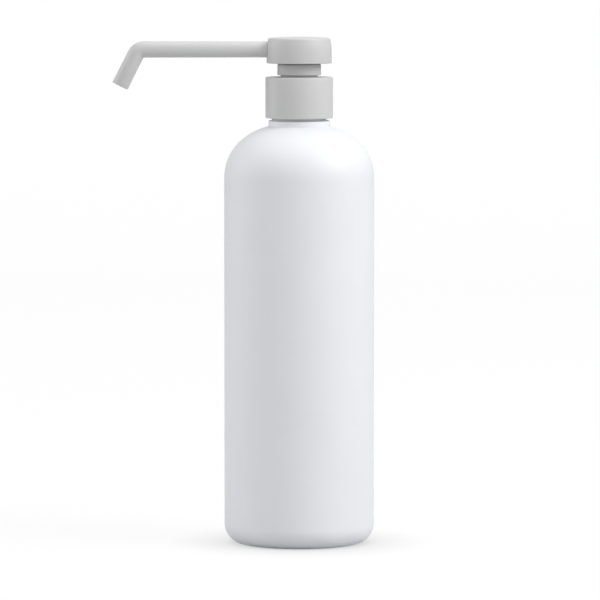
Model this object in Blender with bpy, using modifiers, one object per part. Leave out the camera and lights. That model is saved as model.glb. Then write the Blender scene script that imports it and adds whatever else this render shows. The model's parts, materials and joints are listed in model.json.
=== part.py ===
"""Pump bottle: a blown bottle with a screw closure and a lock-down dispenser pump.

Units are metres, +Z is up, and the origin is on the bottle's axis at the plane it stands on.
The pump is drawn locked down, with its long spout pointing to -X.
"""

import math

import bmesh
import bpy
from mathutils import Vector

# Clearances between pieces
SEAT_GAP = 0.00025
SLIDE_GAP = 0.00035
PISTON_GAP = 0.00012
THREAD_GAP = 0.0003

# Bottle body
BODY_RADIUS = 0.0345
BODY_WALL = 0.0010
SHOULDER_START_Z = 0.1675
SHOULDER_HEIGHT = 0.0264
SHOULDER_POWER = 2.24
HEEL_WIDTH = 0.0082
HEEL_HEIGHT = 0.0092
BASE_WALL = 0.0014
RING_WIDTH = 0.0028
PUSH_UP_SLOPE = 0.0022
PUSH_UP_DEPTH = 0.0012

# Bottle neck
BEAD_RADIUS = 0.01415
BEAD_HEIGHT = 0.0026
BEAD_EDGE = 0.0005
NECK_RADIUS = 0.0125
NECK_WALL = 0.00175
NECK_HEIGHT = 0.0160
NECK_EDGE = 0.0004

# Screw thread between neck and closure
THREAD_PITCH = 0.00423
THREAD_HEIGHT = 0.0012
THREAD_ROOT_WIDTH = 0.0021
THREAD_CREST_WIDTH = 0.0012
NECK_THREAD_TURNS = 1.5
NECK_THREAD_DROP = 0.0022
CLOSURE_THREAD_TURNS = 1.25
CLOSURE_THREAD_LAG = 0.25

# Closure
CLOSURE_WALL = 0.0015
CLOSURE_TOP_WALL = 0.0013
CLOSURE_BEAD_GAP = 0.0011
CLOSURE_TOP_EDGE = 0.00045
CLOSURE_BOTTOM_EDGE = 0.0005

# Gasket
GASKET_THICKNESS = 0.0009
GASKET_OVERHANG = 0.00045

# Pump housing
FLANGE_THICKNESS = 0.0010
FLANGE_INSET = 0.0002
CUP_NECK_GAP = 0.0011
CUP_WALL = 0.0012
CUP_DEPTH = 0.0106
BARREL_BORE = 0.0065
BARREL_WALL = 0.0012
BARREL_LENGTH = 0.0398
BARREL_TAPER = 0.0030
CHAMBER_BORE = 0.0033
CHAMBER_WALL = 0.0023
CHAMBER_DEPTH = 0.0078
INLET_BORE = 0.0016
INLET_LENGTH = 0.0015
TAIL_WALL = 0.0013
TAIL_LENGTH = 0.0085
VENT_RADIUS = 0.0008
VENT_DROP = 0.0030
RIB_COUNT = 4
RIB_WIDTH = 0.0010
RIB_HEIGHT = 0.0020
RIB_REACH = 0.0022

# Inlet ball and dip tube
BALL_RADIUS = 0.00275
TUBE_RADIUS = 0.0035
TUBE_WALL = 0.0010
TUBE_FLOOR_GAP = 0.0018
TUBE_CUT_ANGLE = math.radians(30)

# Chaplet, the lock collar between closure and head
KNOB_OVERHANG = 0.001425
KNOB_DRAFT = 0.000125
KNOB_HEIGHT = 0.0050
KNOB_EDGE = 0.0003
WAIST_STEP = 0.00035
WAIST_SHOW = 0.0009
SLEEVE_LENGTH = 0.0097
SLEEVE_WALL = 0.0009
GUIDE_HEIGHT = 0.0015
SNAP_DROP = 0.0040
SNAP_WIDTH = 0.0012
SNAP_HEIGHT = 0.0004

# Piston, valve rod and stem
PISTON_HEIGHT = 0.0080
PISTON_WALL = 0.0010
PISTON_SLEEVE_BORE = 0.0030
PISTON_SLEEVE_WALL = 0.0012
PISTON_LIP = 0.0016
PISTON_WAIST = 0.0004
STROKE = 0.0140
STROKE_SPARE = 0.0003
VALVE_FLOAT = 0.0008
DISC_RADIUS = 0.0054
DISC_THICKNESS = 0.0012
ROD_RADIUS = 0.00235
ROD_REACH = 0.0150
ROD_STUB = 0.0052
ROD_EDGE = 0.0005
FLUTE_DEPTH = 0.0009
FLUTE_WIDTH = 0.0014
STEM_RADIUS = 0.0038
STEM_WALL = 0.0012

# Return spring
SPRING_RADIUS = 0.0051
SPRING_WIRE = 0.0009
SPRING_TURNS = 7
SPRING_POINTS_PER_TURN = 12

# Head
HEAD_RADIUS = 0.01495
HEAD_GAP = 0.0004
HEAD_HEIGHT = 0.0116
HEAD_DOME = 0.00055
HEAD_WALL = 0.0013
HEAD_TOP_WALL = 0.0014
HEAD_EDGE = 0.0007
HEAD_BOTTOM_EDGE = 0.00035
HEAD_TAPER_START = 0.0052
HEAD_TAPER_RADIUS = 0.0240
BOSS_GAP = 0.0010
BOSS_REACH = 0.0098
STEM_SOCKET_TOP = 0.0020
HEAD_RIB_ANGLES = [math.radians(angle) for angle in (-110, -55, 0, 55, 110)]
HEAD_RIB_WIDTH = 0.0009
HEAD_RIB_DEPTH = 0.0055
LOCK_PITCH = 0.0032
LOCK_TURNS = 1.5
LOCK_RISE = 0.0020
LOCK_HEIGHT = 0.00062
LOCK_ROOT_WIDTH = 0.0013
LOCK_CREST_WIDTH = 0.0006

# Spout
SPOUT_AXIS_RISE = 0.0063
SPOUT_ROOT_RADIUS = 0.00365
SPOUT_BEND_RADIUS = 0.00378
SPOUT_TIP_RADIUS = 0.00390
SPOUT_BORE = 0.0023
SPOUT_CORNER_X = -0.0738
SPOUT_LEG = 0.0187
SPOUT_LEG_ANGLE = math.radians(63.2)
SPOUT_TURN_RADIUS = 0.0044
SPOUT_STOP = 0.0017
SPOUT_SOCKET_BITE = 0.0012
SPOUT_SOCKET_WALL = 0.0008
SPOUT_RUN_POINTS = 8
SPOUT_TURN_POINTS = 7

# Smoothness
BOTTLE_SIDES = 48
CAP_SIDES = 40
INNER_SIDES = 24
THREAD_SIDES = 24
OVERLAP = 0.0004
WALL_BITE = 0.0003
SHARP_ANGLE = math.radians(32)

# Heights that follow from the sizes above
CORE_RADIUS = BODY_RADIUS - HEEL_WIDTH
BORE_RADIUS = NECK_RADIUS - NECK_WALL
BEAD_Z = SHOULDER_START_Z + SHOULDER_HEIGHT * (
    1 - (BEAD_RADIUS / BODY_RADIUS) ** SHOULDER_POWER
) ** (1 / SHOULDER_POWER)
BEAD_TOP_Z = BEAD_Z + BEAD_HEIGHT
RIM_Z = BEAD_TOP_Z + NECK_HEIGHT
GASKET_Z = RIM_Z + SEAT_GAP
FLANGE_Z = GASKET_Z + GASKET_THICKNESS + SEAT_GAP
MOUTH_Z = FLANGE_Z + FLANGE_THICKNESS
CEILING_Z = MOUTH_Z + SEAT_GAP
CLOSURE_TOP_Z = CEILING_Z + CLOSURE_TOP_WALL
CLOSURE_Z = BEAD_TOP_Z + CLOSURE_BEAD_GAP
KNOB_Z = CLOSURE_TOP_Z + WAIST_SHOW
KNOB_TOP_Z = KNOB_Z + KNOB_HEIGHT
HEAD_Z = KNOB_TOP_Z + HEAD_GAP
HEAD_EDGE_Z = HEAD_Z + HEAD_HEIGHT
SPOUT_Z = HEAD_Z + SPOUT_AXIS_RISE
BOSS_Z = HEAD_Z - BOSS_REACH
SOCKET_TOP_Z = HEAD_Z + STEM_SOCKET_TOP
STEM_TOP_Z = SOCKET_TOP_Z - SEAT_GAP
CUP_Z = MOUTH_Z - CUP_DEPTH
SLEEVE_Z = MOUTH_Z - SLEEVE_LENGTH
LEDGE_Z = CUP_Z - BARREL_LENGTH
CHAMBER_Z = LEDGE_Z - CHAMBER_DEPTH
INLET_Z = CHAMBER_Z - INLET_LENGTH
TAIL_Z = INLET_Z - TAIL_LENGTH
PISTON_TOP_Z = CUP_Z - STROKE - VALVE_FLOAT - STROKE_SPARE
PISTON_Z = PISTON_TOP_Z - PISTON_HEIGHT
STEM_Z = PISTON_TOP_Z + SEAT_GAP
DISC_TOP_Z = PISTON_Z - VALVE_FLOAT - SEAT_GAP
DISC_Z = DISC_TOP_Z - DISC_THICKNESS
BALL_Z = CHAMBER_Z - INLET_BORE + (BALL_RADIUS + SEAT_GAP) * math.sqrt(2)

# Radii that follow from a mating piece
CLOSURE_BORE = NECK_RADIUS + THREAD_HEIGHT + THREAD_GAP
CLOSURE_RADIUS = CLOSURE_BORE + CLOSURE_WALL
FLANGE_RADIUS = NECK_RADIUS - FLANGE_INSET
GASKET_BORE = BORE_RADIUS - GASKET_OVERHANG
CUP_BORE = BORE_RADIUS - CUP_NECK_GAP - CUP_WALL
SLEEVE_RADIUS = CUP_BORE - SEAT_GAP
WAIST_RADIUS = SLEEVE_RADIUS + WAIST_STEP
KNOB_TOP_RADIUS = WAIST_RADIUS + KNOB_OVERHANG
KNOB_FOOT_RADIUS = KNOB_TOP_RADIUS + KNOB_DRAFT
LOCK_BORE = SLEEVE_RADIUS - SLEEVE_WALL
BOSS_RADIUS = LOCK_BORE - BOSS_GAP
TAIL_BORE = TUBE_RADIUS + SEAT_GAP
PISTON_RADIUS = BARREL_BORE - PISTON_GAP
SPOUT_SOCKET_BORE = SPOUT_ROOT_RADIUS + SEAT_GAP
SPOUT_ROOT_X = -(BOSS_RADIUS + SPOUT_STOP + SEAT_GAP)


def linear_channel(value):
    """Turn one sRGB channel from 0 to 1 into the linear value that a shader takes."""
    if value <= 0.04045:
        return value / 12.92
    return ((value + 0.055) / 1.055) ** 2.4


def plastic(name, hex_colour, roughness, metallic=0.0):
    """One Principled material from an sRGB colour such as 'D9DADB'."""
    material = bpy.data.materials.new(name)
    material.use_nodes = True
    channels = [int(hex_colour[i:i + 2], 16) / 255 for i in (0, 2, 4)]
    colour = [linear_channel(channel) for channel in channels] + [1.0]
    shader = material.node_tree.nodes["Principled BSDF"]
    shader.inputs["Base Color"].default_value = colour
    shader.inputs["Roughness"].default_value = roughness
    shader.inputs["Metallic"].default_value = metallic
    material.diffuse_color = colour
    return material


def collection(name):
    """A new collection in the scene."""
    group = bpy.data.collections.new(name)
    bpy.context.scene.collection.children.link(group)
    return group


def arc(centre, radii, start, end, steps):
    """Points on an ellipse in the (radius, height) plane, angles in degrees from +radius."""
    points = []
    for step in range(steps + 1):
        angle = math.radians(start + (end - start) * step / steps)
        points.append((centre[0] + radii[0] * math.cos(angle), centre[1] + radii[1] * math.sin(angle)))
    return points


def shoulder(radius, height, stop_radius, steps):
    """The shoulder's superellipse, from the straight wall up to stop_radius."""
    power = 2 / SHOULDER_POWER
    end = math.acos((stop_radius / radius) ** (1 / power))
    points = []
    for step in range(steps + 1):
        angle = end * step / steps
        rise = height * math.sin(angle) ** power
        points.append((radius * math.cos(angle) ** power, SHOULDER_START_Z + rise))
    return points


def turned(name, profile, sides, ring=True):
    """Revolve a profile of (radius, height) points that runs down its outer side.

    A ring's profile is a loop. Any other profile starts and ends on the axis.
    """
    mesh = bpy.data.meshes.new(name)
    links = [(i, i + 1) for i in range(len(profile) - 1)]
    if ring:
        links.append((len(profile) - 1, 0))
    mesh.from_pydata([(radius, 0.0, height) for radius, height in profile], links, [])
    piece = bpy.data.objects.new(name, mesh)
    pieces.objects.link(piece)
    screw = piece.modifiers.new("Turn", "SCREW")
    screw.axis = "Z"
    screw.angle = 2 * math.pi
    screw.steps = sides
    screw.render_steps = sides
    screw.use_merge_vertices = True
    screw.merge_threshold = 0.000001
    return piece


def as_tool(piece):
    """Move a piece to the cutters, which are drawn as wires and never rendered."""
    for group in list(piece.users_collection):
        group.objects.unlink(piece)
    tools.objects.link(piece)
    piece.hide_render = True
    piece.display_type = "WIRE"
    return piece


def rod_tool(name, radius, start, end, sides):
    """A cylinder from one point to another, as a Boolean tool."""
    start, end = Vector(start), Vector(end)
    bpy.ops.mesh.primitive_cylinder_add(
        vertices=sides, radius=radius, depth=(end - start).length, location=(start + end) / 2
    )
    piece = bpy.context.object
    piece.name = name
    piece.rotation_mode = "QUATERNION"
    piece.rotation_quaternion = (end - start).to_track_quat("Z", "Y")
    return as_tool(piece)


def block_tool(name, low, high, angle=0.0):
    """A box between two corners, turned about the Z axis, as a Boolean tool."""
    low, high = Vector(low), Vector(high)
    bpy.ops.mesh.primitive_cube_add(size=1.0)
    piece = bpy.context.object
    piece.name = name
    size, middle = high - low, (low + high) / 2
    for vertex in piece.data.vertices:
        vertex.co = Vector(side * length for side, length in zip(vertex.co, size)) + middle
    piece.rotation_euler.z = angle
    return as_tool(piece)


def boolean(piece, operation, tool):
    """Join a tool to a piece, or cut it away."""
    step = piece.modifiers.new(f"{operation.title()} {tool.name}", "BOOLEAN")
    step.operation = operation
    step.object = tool
    step.solver = "EXACT"


def curve_line(name, points, radii=None):
    """A curve object through points, with straight stretches between them."""
    curve = bpy.data.curves.new(name, "CURVE")
    curve.dimensions = "3D"
    curve.use_fill_caps = True
    line = curve.splines.new("POLY")
    line.points.add(len(points) - 1)
    for index, place in enumerate(points):
        line.points[index].co = (*place, 1.0)
        line.points[index].radius = 1.0 if radii is None else radii[index]
    piece = bpy.data.objects.new(name, curve)
    pieces.objects.link(piece)
    return piece


def curve_to_mesh(piece):
    """Replace a curve object with its mesh, its caps welded and its faces turned outwards."""
    bpy.context.view_layer.update()
    graph = bpy.context.evaluated_depsgraph_get()
    mesh = bpy.data.meshes.new_from_object(piece.evaluated_get(graph))
    form = bmesh.new()
    form.from_mesh(mesh)
    bmesh.ops.remove_doubles(form, verts=form.verts, dist=0.000001)
    bmesh.ops.recalc_face_normals(form, faces=form.faces)
    form.to_mesh(mesh)
    form.free()
    name = piece.name
    solid = bpy.data.objects.new(name, mesh)
    solid.matrix_world = piece.matrix_world.copy()
    bpy.data.objects.remove(piece)
    solid.name = name
    pieces.objects.link(solid)
    return solid


def tube(name, points, radii, sides_level):
    """A solid rod along points, as thick at each point as its radius says."""
    piece = curve_line(name, points, radii)
    piece.data.bevel_depth = 1.0
    piece.data.bevel_resolution = sides_level
    return curve_to_mesh(piece)


def helical_ridge(name, surface, outwards, start_z, start_turn, turns, sizes):
    """A thread ridge that stands on a round wall and fades out at both ends.

    outwards is 1 on a shaft and -1 in a bore, where the path lies a little further out, so that its
    straight steps don't leave the wall. sizes holds the pitch, height, root and crest.
    """
    pitch, height, root, crest = sizes
    reach = surface if outwards > 0 else surface / math.cos(math.pi / THREAD_SIDES)
    slope = (root - crest) / 2 / height
    outline = bpy.data.curves.new(f"{name}_outline", "CURVE")
    outline.dimensions = "2D"
    corners = [(-OVERLAP, root / 2 + OVERLAP * slope), (height, crest / 2)]
    corners += [(across, -along) for across, along in reversed(corners)]
    line = outline.splines.new("POLY")
    line.points.add(len(corners) - 1)
    line.use_cyclic_u = True
    for point, (across, along) in zip(line.points, corners):
        point.co = (outwards * across, along, 0.0, 1.0)
    section = bpy.data.objects.new(f"{name}_outline", outline)
    tools.objects.link(section)
    section.hide_render = True

    count = round(turns * THREAD_SIDES)
    fade = THREAD_SIDES / 6
    places = []
    radii = []
    for step in range(count + 1):
        turn = start_turn + turns * step / count
        angle = 2 * math.pi * turn
        places.append((reach * math.cos(angle), reach * math.sin(angle), start_z + pitch * turn))
        radii.append(min(1.0, 0.05 + min(step, count - step) / fade))
    ridge = curve_line(name, places, radii)
    ridge.data.twist_mode = "Z_UP"
    ridge.data.bevel_mode = "OBJECT"
    ridge.data.bevel_object = section
    return as_tool(curve_to_mesh(ridge))


def finish(piece, material):
    """Apply a piece's modifiers, shade it smooth up to its real edges and give it its material."""
    bpy.context.view_layer.update()
    graph = bpy.context.evaluated_depsgraph_get()
    mesh = bpy.data.meshes.new_from_object(piece.evaluated_get(graph))
    piece.modifiers.clear()
    piece.data = mesh
    mesh.name = piece.name
    mesh.shade_smooth()
    mesh.set_sharp_from_angle(angle=SHARP_ANGLE)
    mesh.materials.clear()
    mesh.materials.append(material)
    return piece


def carrier(name, height, parent=None):
    """An empty on the pump's axis that carries the pieces of one moving body."""
    empty = bpy.data.objects.new(name, None)
    empty.location.z = height - (parent.location.z if parent else 0.0)
    empty.parent = parent
    pieces.objects.link(empty)
    bpy.context.view_layer.update()
    return empty


def hang(piece, empty):
    """Parent a piece to its carrier and leave it where it is."""
    piece.parent = empty
    piece.matrix_parent_inverse = empty.matrix_world.inverted()


def thread_sizes():
    """Pitch, height, root and crest of the ridges on the neck and in the closure."""
    return THREAD_PITCH, THREAD_HEIGHT, THREAD_ROOT_WIDTH, THREAD_CREST_WIDTH


def neck_thread_start():
    """Height of the neck ridge's lower end, counted so that its upper end clears the rim."""
    return RIM_Z - NECK_THREAD_DROP - NECK_THREAD_TURNS * THREAD_PITCH


def make_bottle():
    """The blown bottle: one shell from its push-up base to its threaded neck."""
    floor_z = PUSH_UP_DEPTH + BASE_WALL
    ring_inner = CORE_RADIUS - RING_WIDTH
    disc_radius = ring_inner - PUSH_UP_SLOPE
    inside = [(0.0, floor_z), (disc_radius, floor_z), (ring_inner, BASE_WALL)]
    inside += arc(
        (CORE_RADIUS, HEEL_HEIGHT), (HEEL_WIDTH - BODY_WALL, HEEL_HEIGHT - BASE_WALL), -90, 0, 4
    )
    inside += shoulder(BODY_RADIUS - BODY_WALL, SHOULDER_HEIGHT - BODY_WALL, BORE_RADIUS, 6)
    rim = [(BORE_RADIUS, RIM_Z), (NECK_RADIUS - NECK_EDGE, RIM_Z), (NECK_RADIUS, RIM_Z - NECK_EDGE)]
    bead = [
        (NECK_RADIUS, BEAD_TOP_Z),
        (BEAD_RADIUS - BEAD_EDGE, BEAD_TOP_Z),
        (BEAD_RADIUS, BEAD_TOP_Z - BEAD_EDGE),
    ]
    outside = list(reversed(shoulder(BODY_RADIUS, SHOULDER_HEIGHT, BEAD_RADIUS, 10)))
    heel = arc((CORE_RADIUS, HEEL_HEIGHT), (HEEL_WIDTH, HEEL_HEIGHT), 0, -90, 7)
    base = [(ring_inner, 0.0), (disc_radius, PUSH_UP_DEPTH), (0.0, PUSH_UP_DEPTH)]
    piece = turned("bottle", inside + rim + bead + outside + heel + base, BOTTLE_SIDES, ring=False)
    ridge = helical_ridge(
        "neck_thread", NECK_RADIUS, 1, neck_thread_start(), 0.0, NECK_THREAD_TURNS, thread_sizes()
    )
    boolean(piece, "UNION", ridge)
    return piece


def make_closure():
    """The screw closure: a smooth skirt, an inner thread and a top with a hole for the chaplet."""
    hole = WAIST_RADIUS + SLIDE_GAP
    top = arc(
        (CLOSURE_RADIUS - CLOSURE_TOP_EDGE, CLOSURE_TOP_Z - CLOSURE_TOP_EDGE),
        (CLOSURE_TOP_EDGE, CLOSURE_TOP_EDGE), 90, 0, 3,
    )
    foot = arc(
        (CLOSURE_RADIUS - CLOSURE_BOTTOM_EDGE, CLOSURE_Z + CLOSURE_BOTTOM_EDGE),
        (CLOSURE_BOTTOM_EDGE, CLOSURE_BOTTOM_EDGE), 0, -90, 3,
    )
    profile = [(hole, CLOSURE_TOP_Z)] + top + foot
    profile += [(CLOSURE_BORE, CLOSURE_Z), (CLOSURE_BORE, CEILING_Z), (hole, CEILING_Z)]
    piece = turned("closure", profile, CAP_SIDES)

    taper = (THREAD_ROOT_WIDTH - THREAD_CREST_WIDTH) / 2 / THREAD_HEIGHT
    shared = CLOSURE_BORE - NECK_RADIUS
    drop = THREAD_ROOT_WIDTH - taper * shared + THREAD_GAP
    ridge = helical_ridge(
        "closure_thread", CLOSURE_BORE, -1, neck_thread_start() - drop,
        CLOSURE_THREAD_LAG, CLOSURE_THREAD_TURNS, thread_sizes(),
    )
    boolean(piece, "UNION", ridge)
    return piece


def make_gasket():
    """The flat gasket between the housing's flange and the bottle's rim."""
    top = GASKET_Z + GASKET_THICKNESS
    profile = [(GASKET_BORE, top), (FLANGE_RADIUS, top), (FLANGE_RADIUS, GASKET_Z), (GASKET_BORE, GASKET_Z)]
    return turned("gasket", profile, CAP_SIDES)


def make_housing():
    """The pump housing: flange, chaplet cup, barrel, valve chamber and dip tube tail."""
    cup_radius = CUP_BORE + CUP_WALL
    barrel_radius = BARREL_BORE + BARREL_WALL
    chamber_radius = CHAMBER_BORE + CHAMBER_WALL
    tail_radius = TAIL_BORE + TAIL_WALL
    snap_top = MOUTH_Z - SNAP_DROP + SEAT_GAP
    snap_foot = MOUTH_Z - SNAP_DROP - SNAP_WIDTH - SEAT_GAP
    seat_top = CHAMBER_Z + CHAMBER_BORE - INLET_BORE
    outside = [
        (FLANGE_RADIUS, MOUTH_Z),
        (FLANGE_RADIUS, FLANGE_Z),
        (cup_radius, FLANGE_Z),
        (cup_radius, CUP_Z),
        (barrel_radius, CUP_Z - CUP_WALL),
        (barrel_radius, LEDGE_Z),
        (chamber_radius, LEDGE_Z - BARREL_TAPER),
        (chamber_radius, CHAMBER_Z),
        (tail_radius, INLET_Z),
        (tail_radius, TAIL_Z),
    ]
    inside = [
        (TAIL_BORE, TAIL_Z),
        (TAIL_BORE, INLET_Z),
        (INLET_BORE, INLET_Z),
        (INLET_BORE, CHAMBER_Z),
        (CHAMBER_BORE, seat_top),
        (CHAMBER_BORE, LEDGE_Z),
        (BARREL_BORE, LEDGE_Z),
        (BARREL_BORE, CUP_Z),
        (CUP_BORE, CUP_Z + CUP_BORE - BARREL_BORE - BARREL_WALL),
        (CUP_BORE, snap_foot),
        (CUP_BORE + SNAP_HEIGHT, snap_foot + SNAP_HEIGHT),
        (CUP_BORE + SNAP_HEIGHT, snap_top - SNAP_HEIGHT),
        (CUP_BORE, snap_top),
        (CUP_BORE, MOUTH_Z),
    ]
    piece = turned("housing", outside + inside, INNER_SIDES)
    for index in range(RIB_COUNT):
        rib = block_tool(
            f"ball_rib_{index + 1}",
            (RIB_REACH, -RIB_WIDTH / 2, LEDGE_Z - RIB_HEIGHT),
            (CHAMBER_BORE + OVERLAP, RIB_WIDTH / 2, LEDGE_Z - OVERLAP),
            2 * math.pi * index / RIB_COUNT,
        )
        boolean(piece, "UNION", rib)
    vent_z = CUP_Z - VENT_DROP
    vent = rod_tool("vent", VENT_RADIUS, (0.0, 0.0, vent_z), (0.0, 2 * barrel_radius, vent_z), 12)
    boolean(piece, "DIFFERENCE", vent)
    return piece


def make_dip_tube():
    """The dip tube, pushed up into the housing's tail and cut at a slant near the floor."""
    top = INLET_Z - SEAT_GAP
    foot = PUSH_UP_DEPTH + BASE_WALL + TUBE_FLOOR_GAP
    bore = TUBE_RADIUS - TUBE_WALL
    profile = [(bore, top), (TUBE_RADIUS, top), (TUBE_RADIUS, foot), (bore, foot)]
    piece = turned("dip_tube", profile, INNER_SIDES)
    reach = 4 * TUBE_RADIUS
    knife = block_tool("dip_tube_knife", (-reach, -reach, -reach), (reach, reach, 0.0))
    knife.location = (-TUBE_RADIUS, 0.0, foot)
    knife.rotation_euler.y = -TUBE_CUT_ANGLE
    boolean(piece, "DIFFERENCE", knife)
    return piece


def make_inlet_ball():
    """The check ball that closes the inlet under the barrel."""
    bpy.ops.mesh.primitive_uv_sphere_add(
        segments=16, ring_count=10, radius=BALL_RADIUS, location=(0.0, 0.0, BALL_Z)
    )
    piece = bpy.context.object
    piece.name = "inlet_ball"
    for group in list(piece.users_collection):
        group.objects.unlink(piece)
    pieces.objects.link(piece)
    return piece


def make_chaplet():
    """The chaplet: a knob above the closure and a sleeve snapped into the housing."""
    guide_bore = STEM_RADIUS + SLIDE_GAP
    snap_top = MOUTH_Z - SNAP_DROP
    snap_foot = snap_top - SNAP_WIDTH
    profile = [
        (LOCK_BORE, KNOB_TOP_Z),
        (KNOB_TOP_RADIUS - KNOB_EDGE, KNOB_TOP_Z),
        (KNOB_TOP_RADIUS, KNOB_TOP_Z - KNOB_EDGE),
        (KNOB_FOOT_RADIUS, KNOB_Z + KNOB_EDGE),
        (KNOB_FOOT_RADIUS - KNOB_EDGE, KNOB_Z),
        (WAIST_RADIUS, KNOB_Z),
        (WAIST_RADIUS, MOUTH_Z + SEAT_GAP),
        (SLEEVE_RADIUS, MOUTH_Z + SEAT_GAP),
        (SLEEVE_RADIUS, snap_top),
        (SLEEVE_RADIUS + SNAP_HEIGHT, snap_top - SNAP_HEIGHT),
        (SLEEVE_RADIUS + SNAP_HEIGHT, snap_foot + SNAP_HEIGHT),
        (SLEEVE_RADIUS, snap_foot),
        (SLEEVE_RADIUS, SLEEVE_Z),
        (guide_bore, SLEEVE_Z),
        (guide_bore, SLEEVE_Z + GUIDE_HEIGHT),
        (LOCK_BORE, SLEEVE_Z + GUIDE_HEIGHT),
    ]
    return turned("chaplet", profile, CAP_SIDES)


def make_piston():
    """The piston: a sleeve that rides between stem and valve disc, and a skirt with two lips."""
    sleeve = PISTON_SLEEVE_BORE + PISTON_SLEEVE_WALL
    waist = PISTON_RADIUS - PISTON_WAIST
    skirt = waist - PISTON_WALL
    middle = (PISTON_TOP_Z + PISTON_Z) / 2
    profile = [
        (PISTON_SLEEVE_BORE, PISTON_TOP_Z),
        (sleeve, PISTON_TOP_Z),
        (sleeve, middle + PISTON_WALL / 2),
        (skirt, middle + PISTON_WALL / 2),
        (PISTON_RADIUS - PISTON_WALL / 2, PISTON_TOP_Z),
        (PISTON_RADIUS, PISTON_TOP_Z),
        (waist, PISTON_TOP_Z - PISTON_LIP),
        (waist, PISTON_Z + PISTON_LIP),
        (PISTON_RADIUS, PISTON_Z),
        (PISTON_RADIUS - PISTON_WALL / 2, PISTON_Z),
        (skirt, middle - PISTON_WALL / 2),
        (sleeve, middle - PISTON_WALL / 2),
        (sleeve, PISTON_Z),
        (PISTON_SLEEVE_BORE, PISTON_Z),
    ]
    return turned("piston", profile, INNER_SIDES)


def make_valve_rod():
    """The valve rod: a fluted shank in the stem, a disc under the piston and a spring stub."""
    top = STEM_Z + ROD_REACH
    profile = [
        (0.0, top),
        (ROD_RADIUS - ROD_EDGE, top),
        (ROD_RADIUS, top - ROD_EDGE),
        (ROD_RADIUS, DISC_TOP_Z),
        (DISC_RADIUS, DISC_TOP_Z),
        (DISC_RADIUS, DISC_Z),
        (ROD_RADIUS, DISC_Z),
        (ROD_RADIUS, DISC_Z - ROD_STUB + ROD_EDGE),
        (ROD_RADIUS - ROD_EDGE, DISC_Z - ROD_STUB),
        (0.0, DISC_Z - ROD_STUB),
    ]
    piece = turned("valve_rod", profile, INNER_SIDES, ring=False)
    for index in range(4):
        flute = block_tool(
            f"flute_{index + 1}",
            (ROD_RADIUS - FLUTE_DEPTH, -FLUTE_WIDTH / 2, DISC_TOP_Z + OVERLAP),
            (2 * ROD_RADIUS, FLUTE_WIDTH / 2, top + OVERLAP),
            math.pi / 2 * index,
        )
        boolean(piece, "DIFFERENCE", flute)
    return piece


def make_stem():
    """The hollow stem that carries the head and pushes the piston."""
    bore = STEM_RADIUS - STEM_WALL
    profile = [(bore, STEM_TOP_Z), (STEM_RADIUS, STEM_TOP_Z), (STEM_RADIUS, STEM_Z), (bore, STEM_Z)]
    return turned("stem", profile, INNER_SIDES)


def make_spring():
    """The return spring, with one closed coil at each end."""
    low = LEDGE_Z + SEAT_GAP + SPRING_WIRE / 2
    high = DISC_Z - SEAT_GAP - SPRING_WIRE / 2
    closed_rise = SPRING_WIRE + SEAT_GAP
    open_turns = SPRING_TURNS - 2
    open_rise = (high - low - 2 * closed_rise) / open_turns
    count = SPRING_TURNS * SPRING_POINTS_PER_TURN
    places = []
    for step in range(count + 1):
        turn = step / SPRING_POINTS_PER_TURN
        closed_below = min(turn, 1.0)
        opened = min(max(turn - 1.0, 0.0), open_turns)
        closed_above = max(turn - 1.0 - open_turns, 0.0)
        height = low + (closed_below + closed_above) * closed_rise + opened * open_rise
        angle = 2 * math.pi * turn
        places.append((SPRING_RADIUS * math.cos(angle), SPRING_RADIUS * math.sin(angle), height))
    return tube("spring", places, [SPRING_WIRE / 2] * len(places), 2)


def head_side(height):
    """The drum's outer radius at a height above its lower edge."""
    over = max(0.0, height - HEAD_TAPER_START)
    return HEAD_RADIUS - over * over / (2 * HEAD_TAPER_RADIUS)


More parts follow.
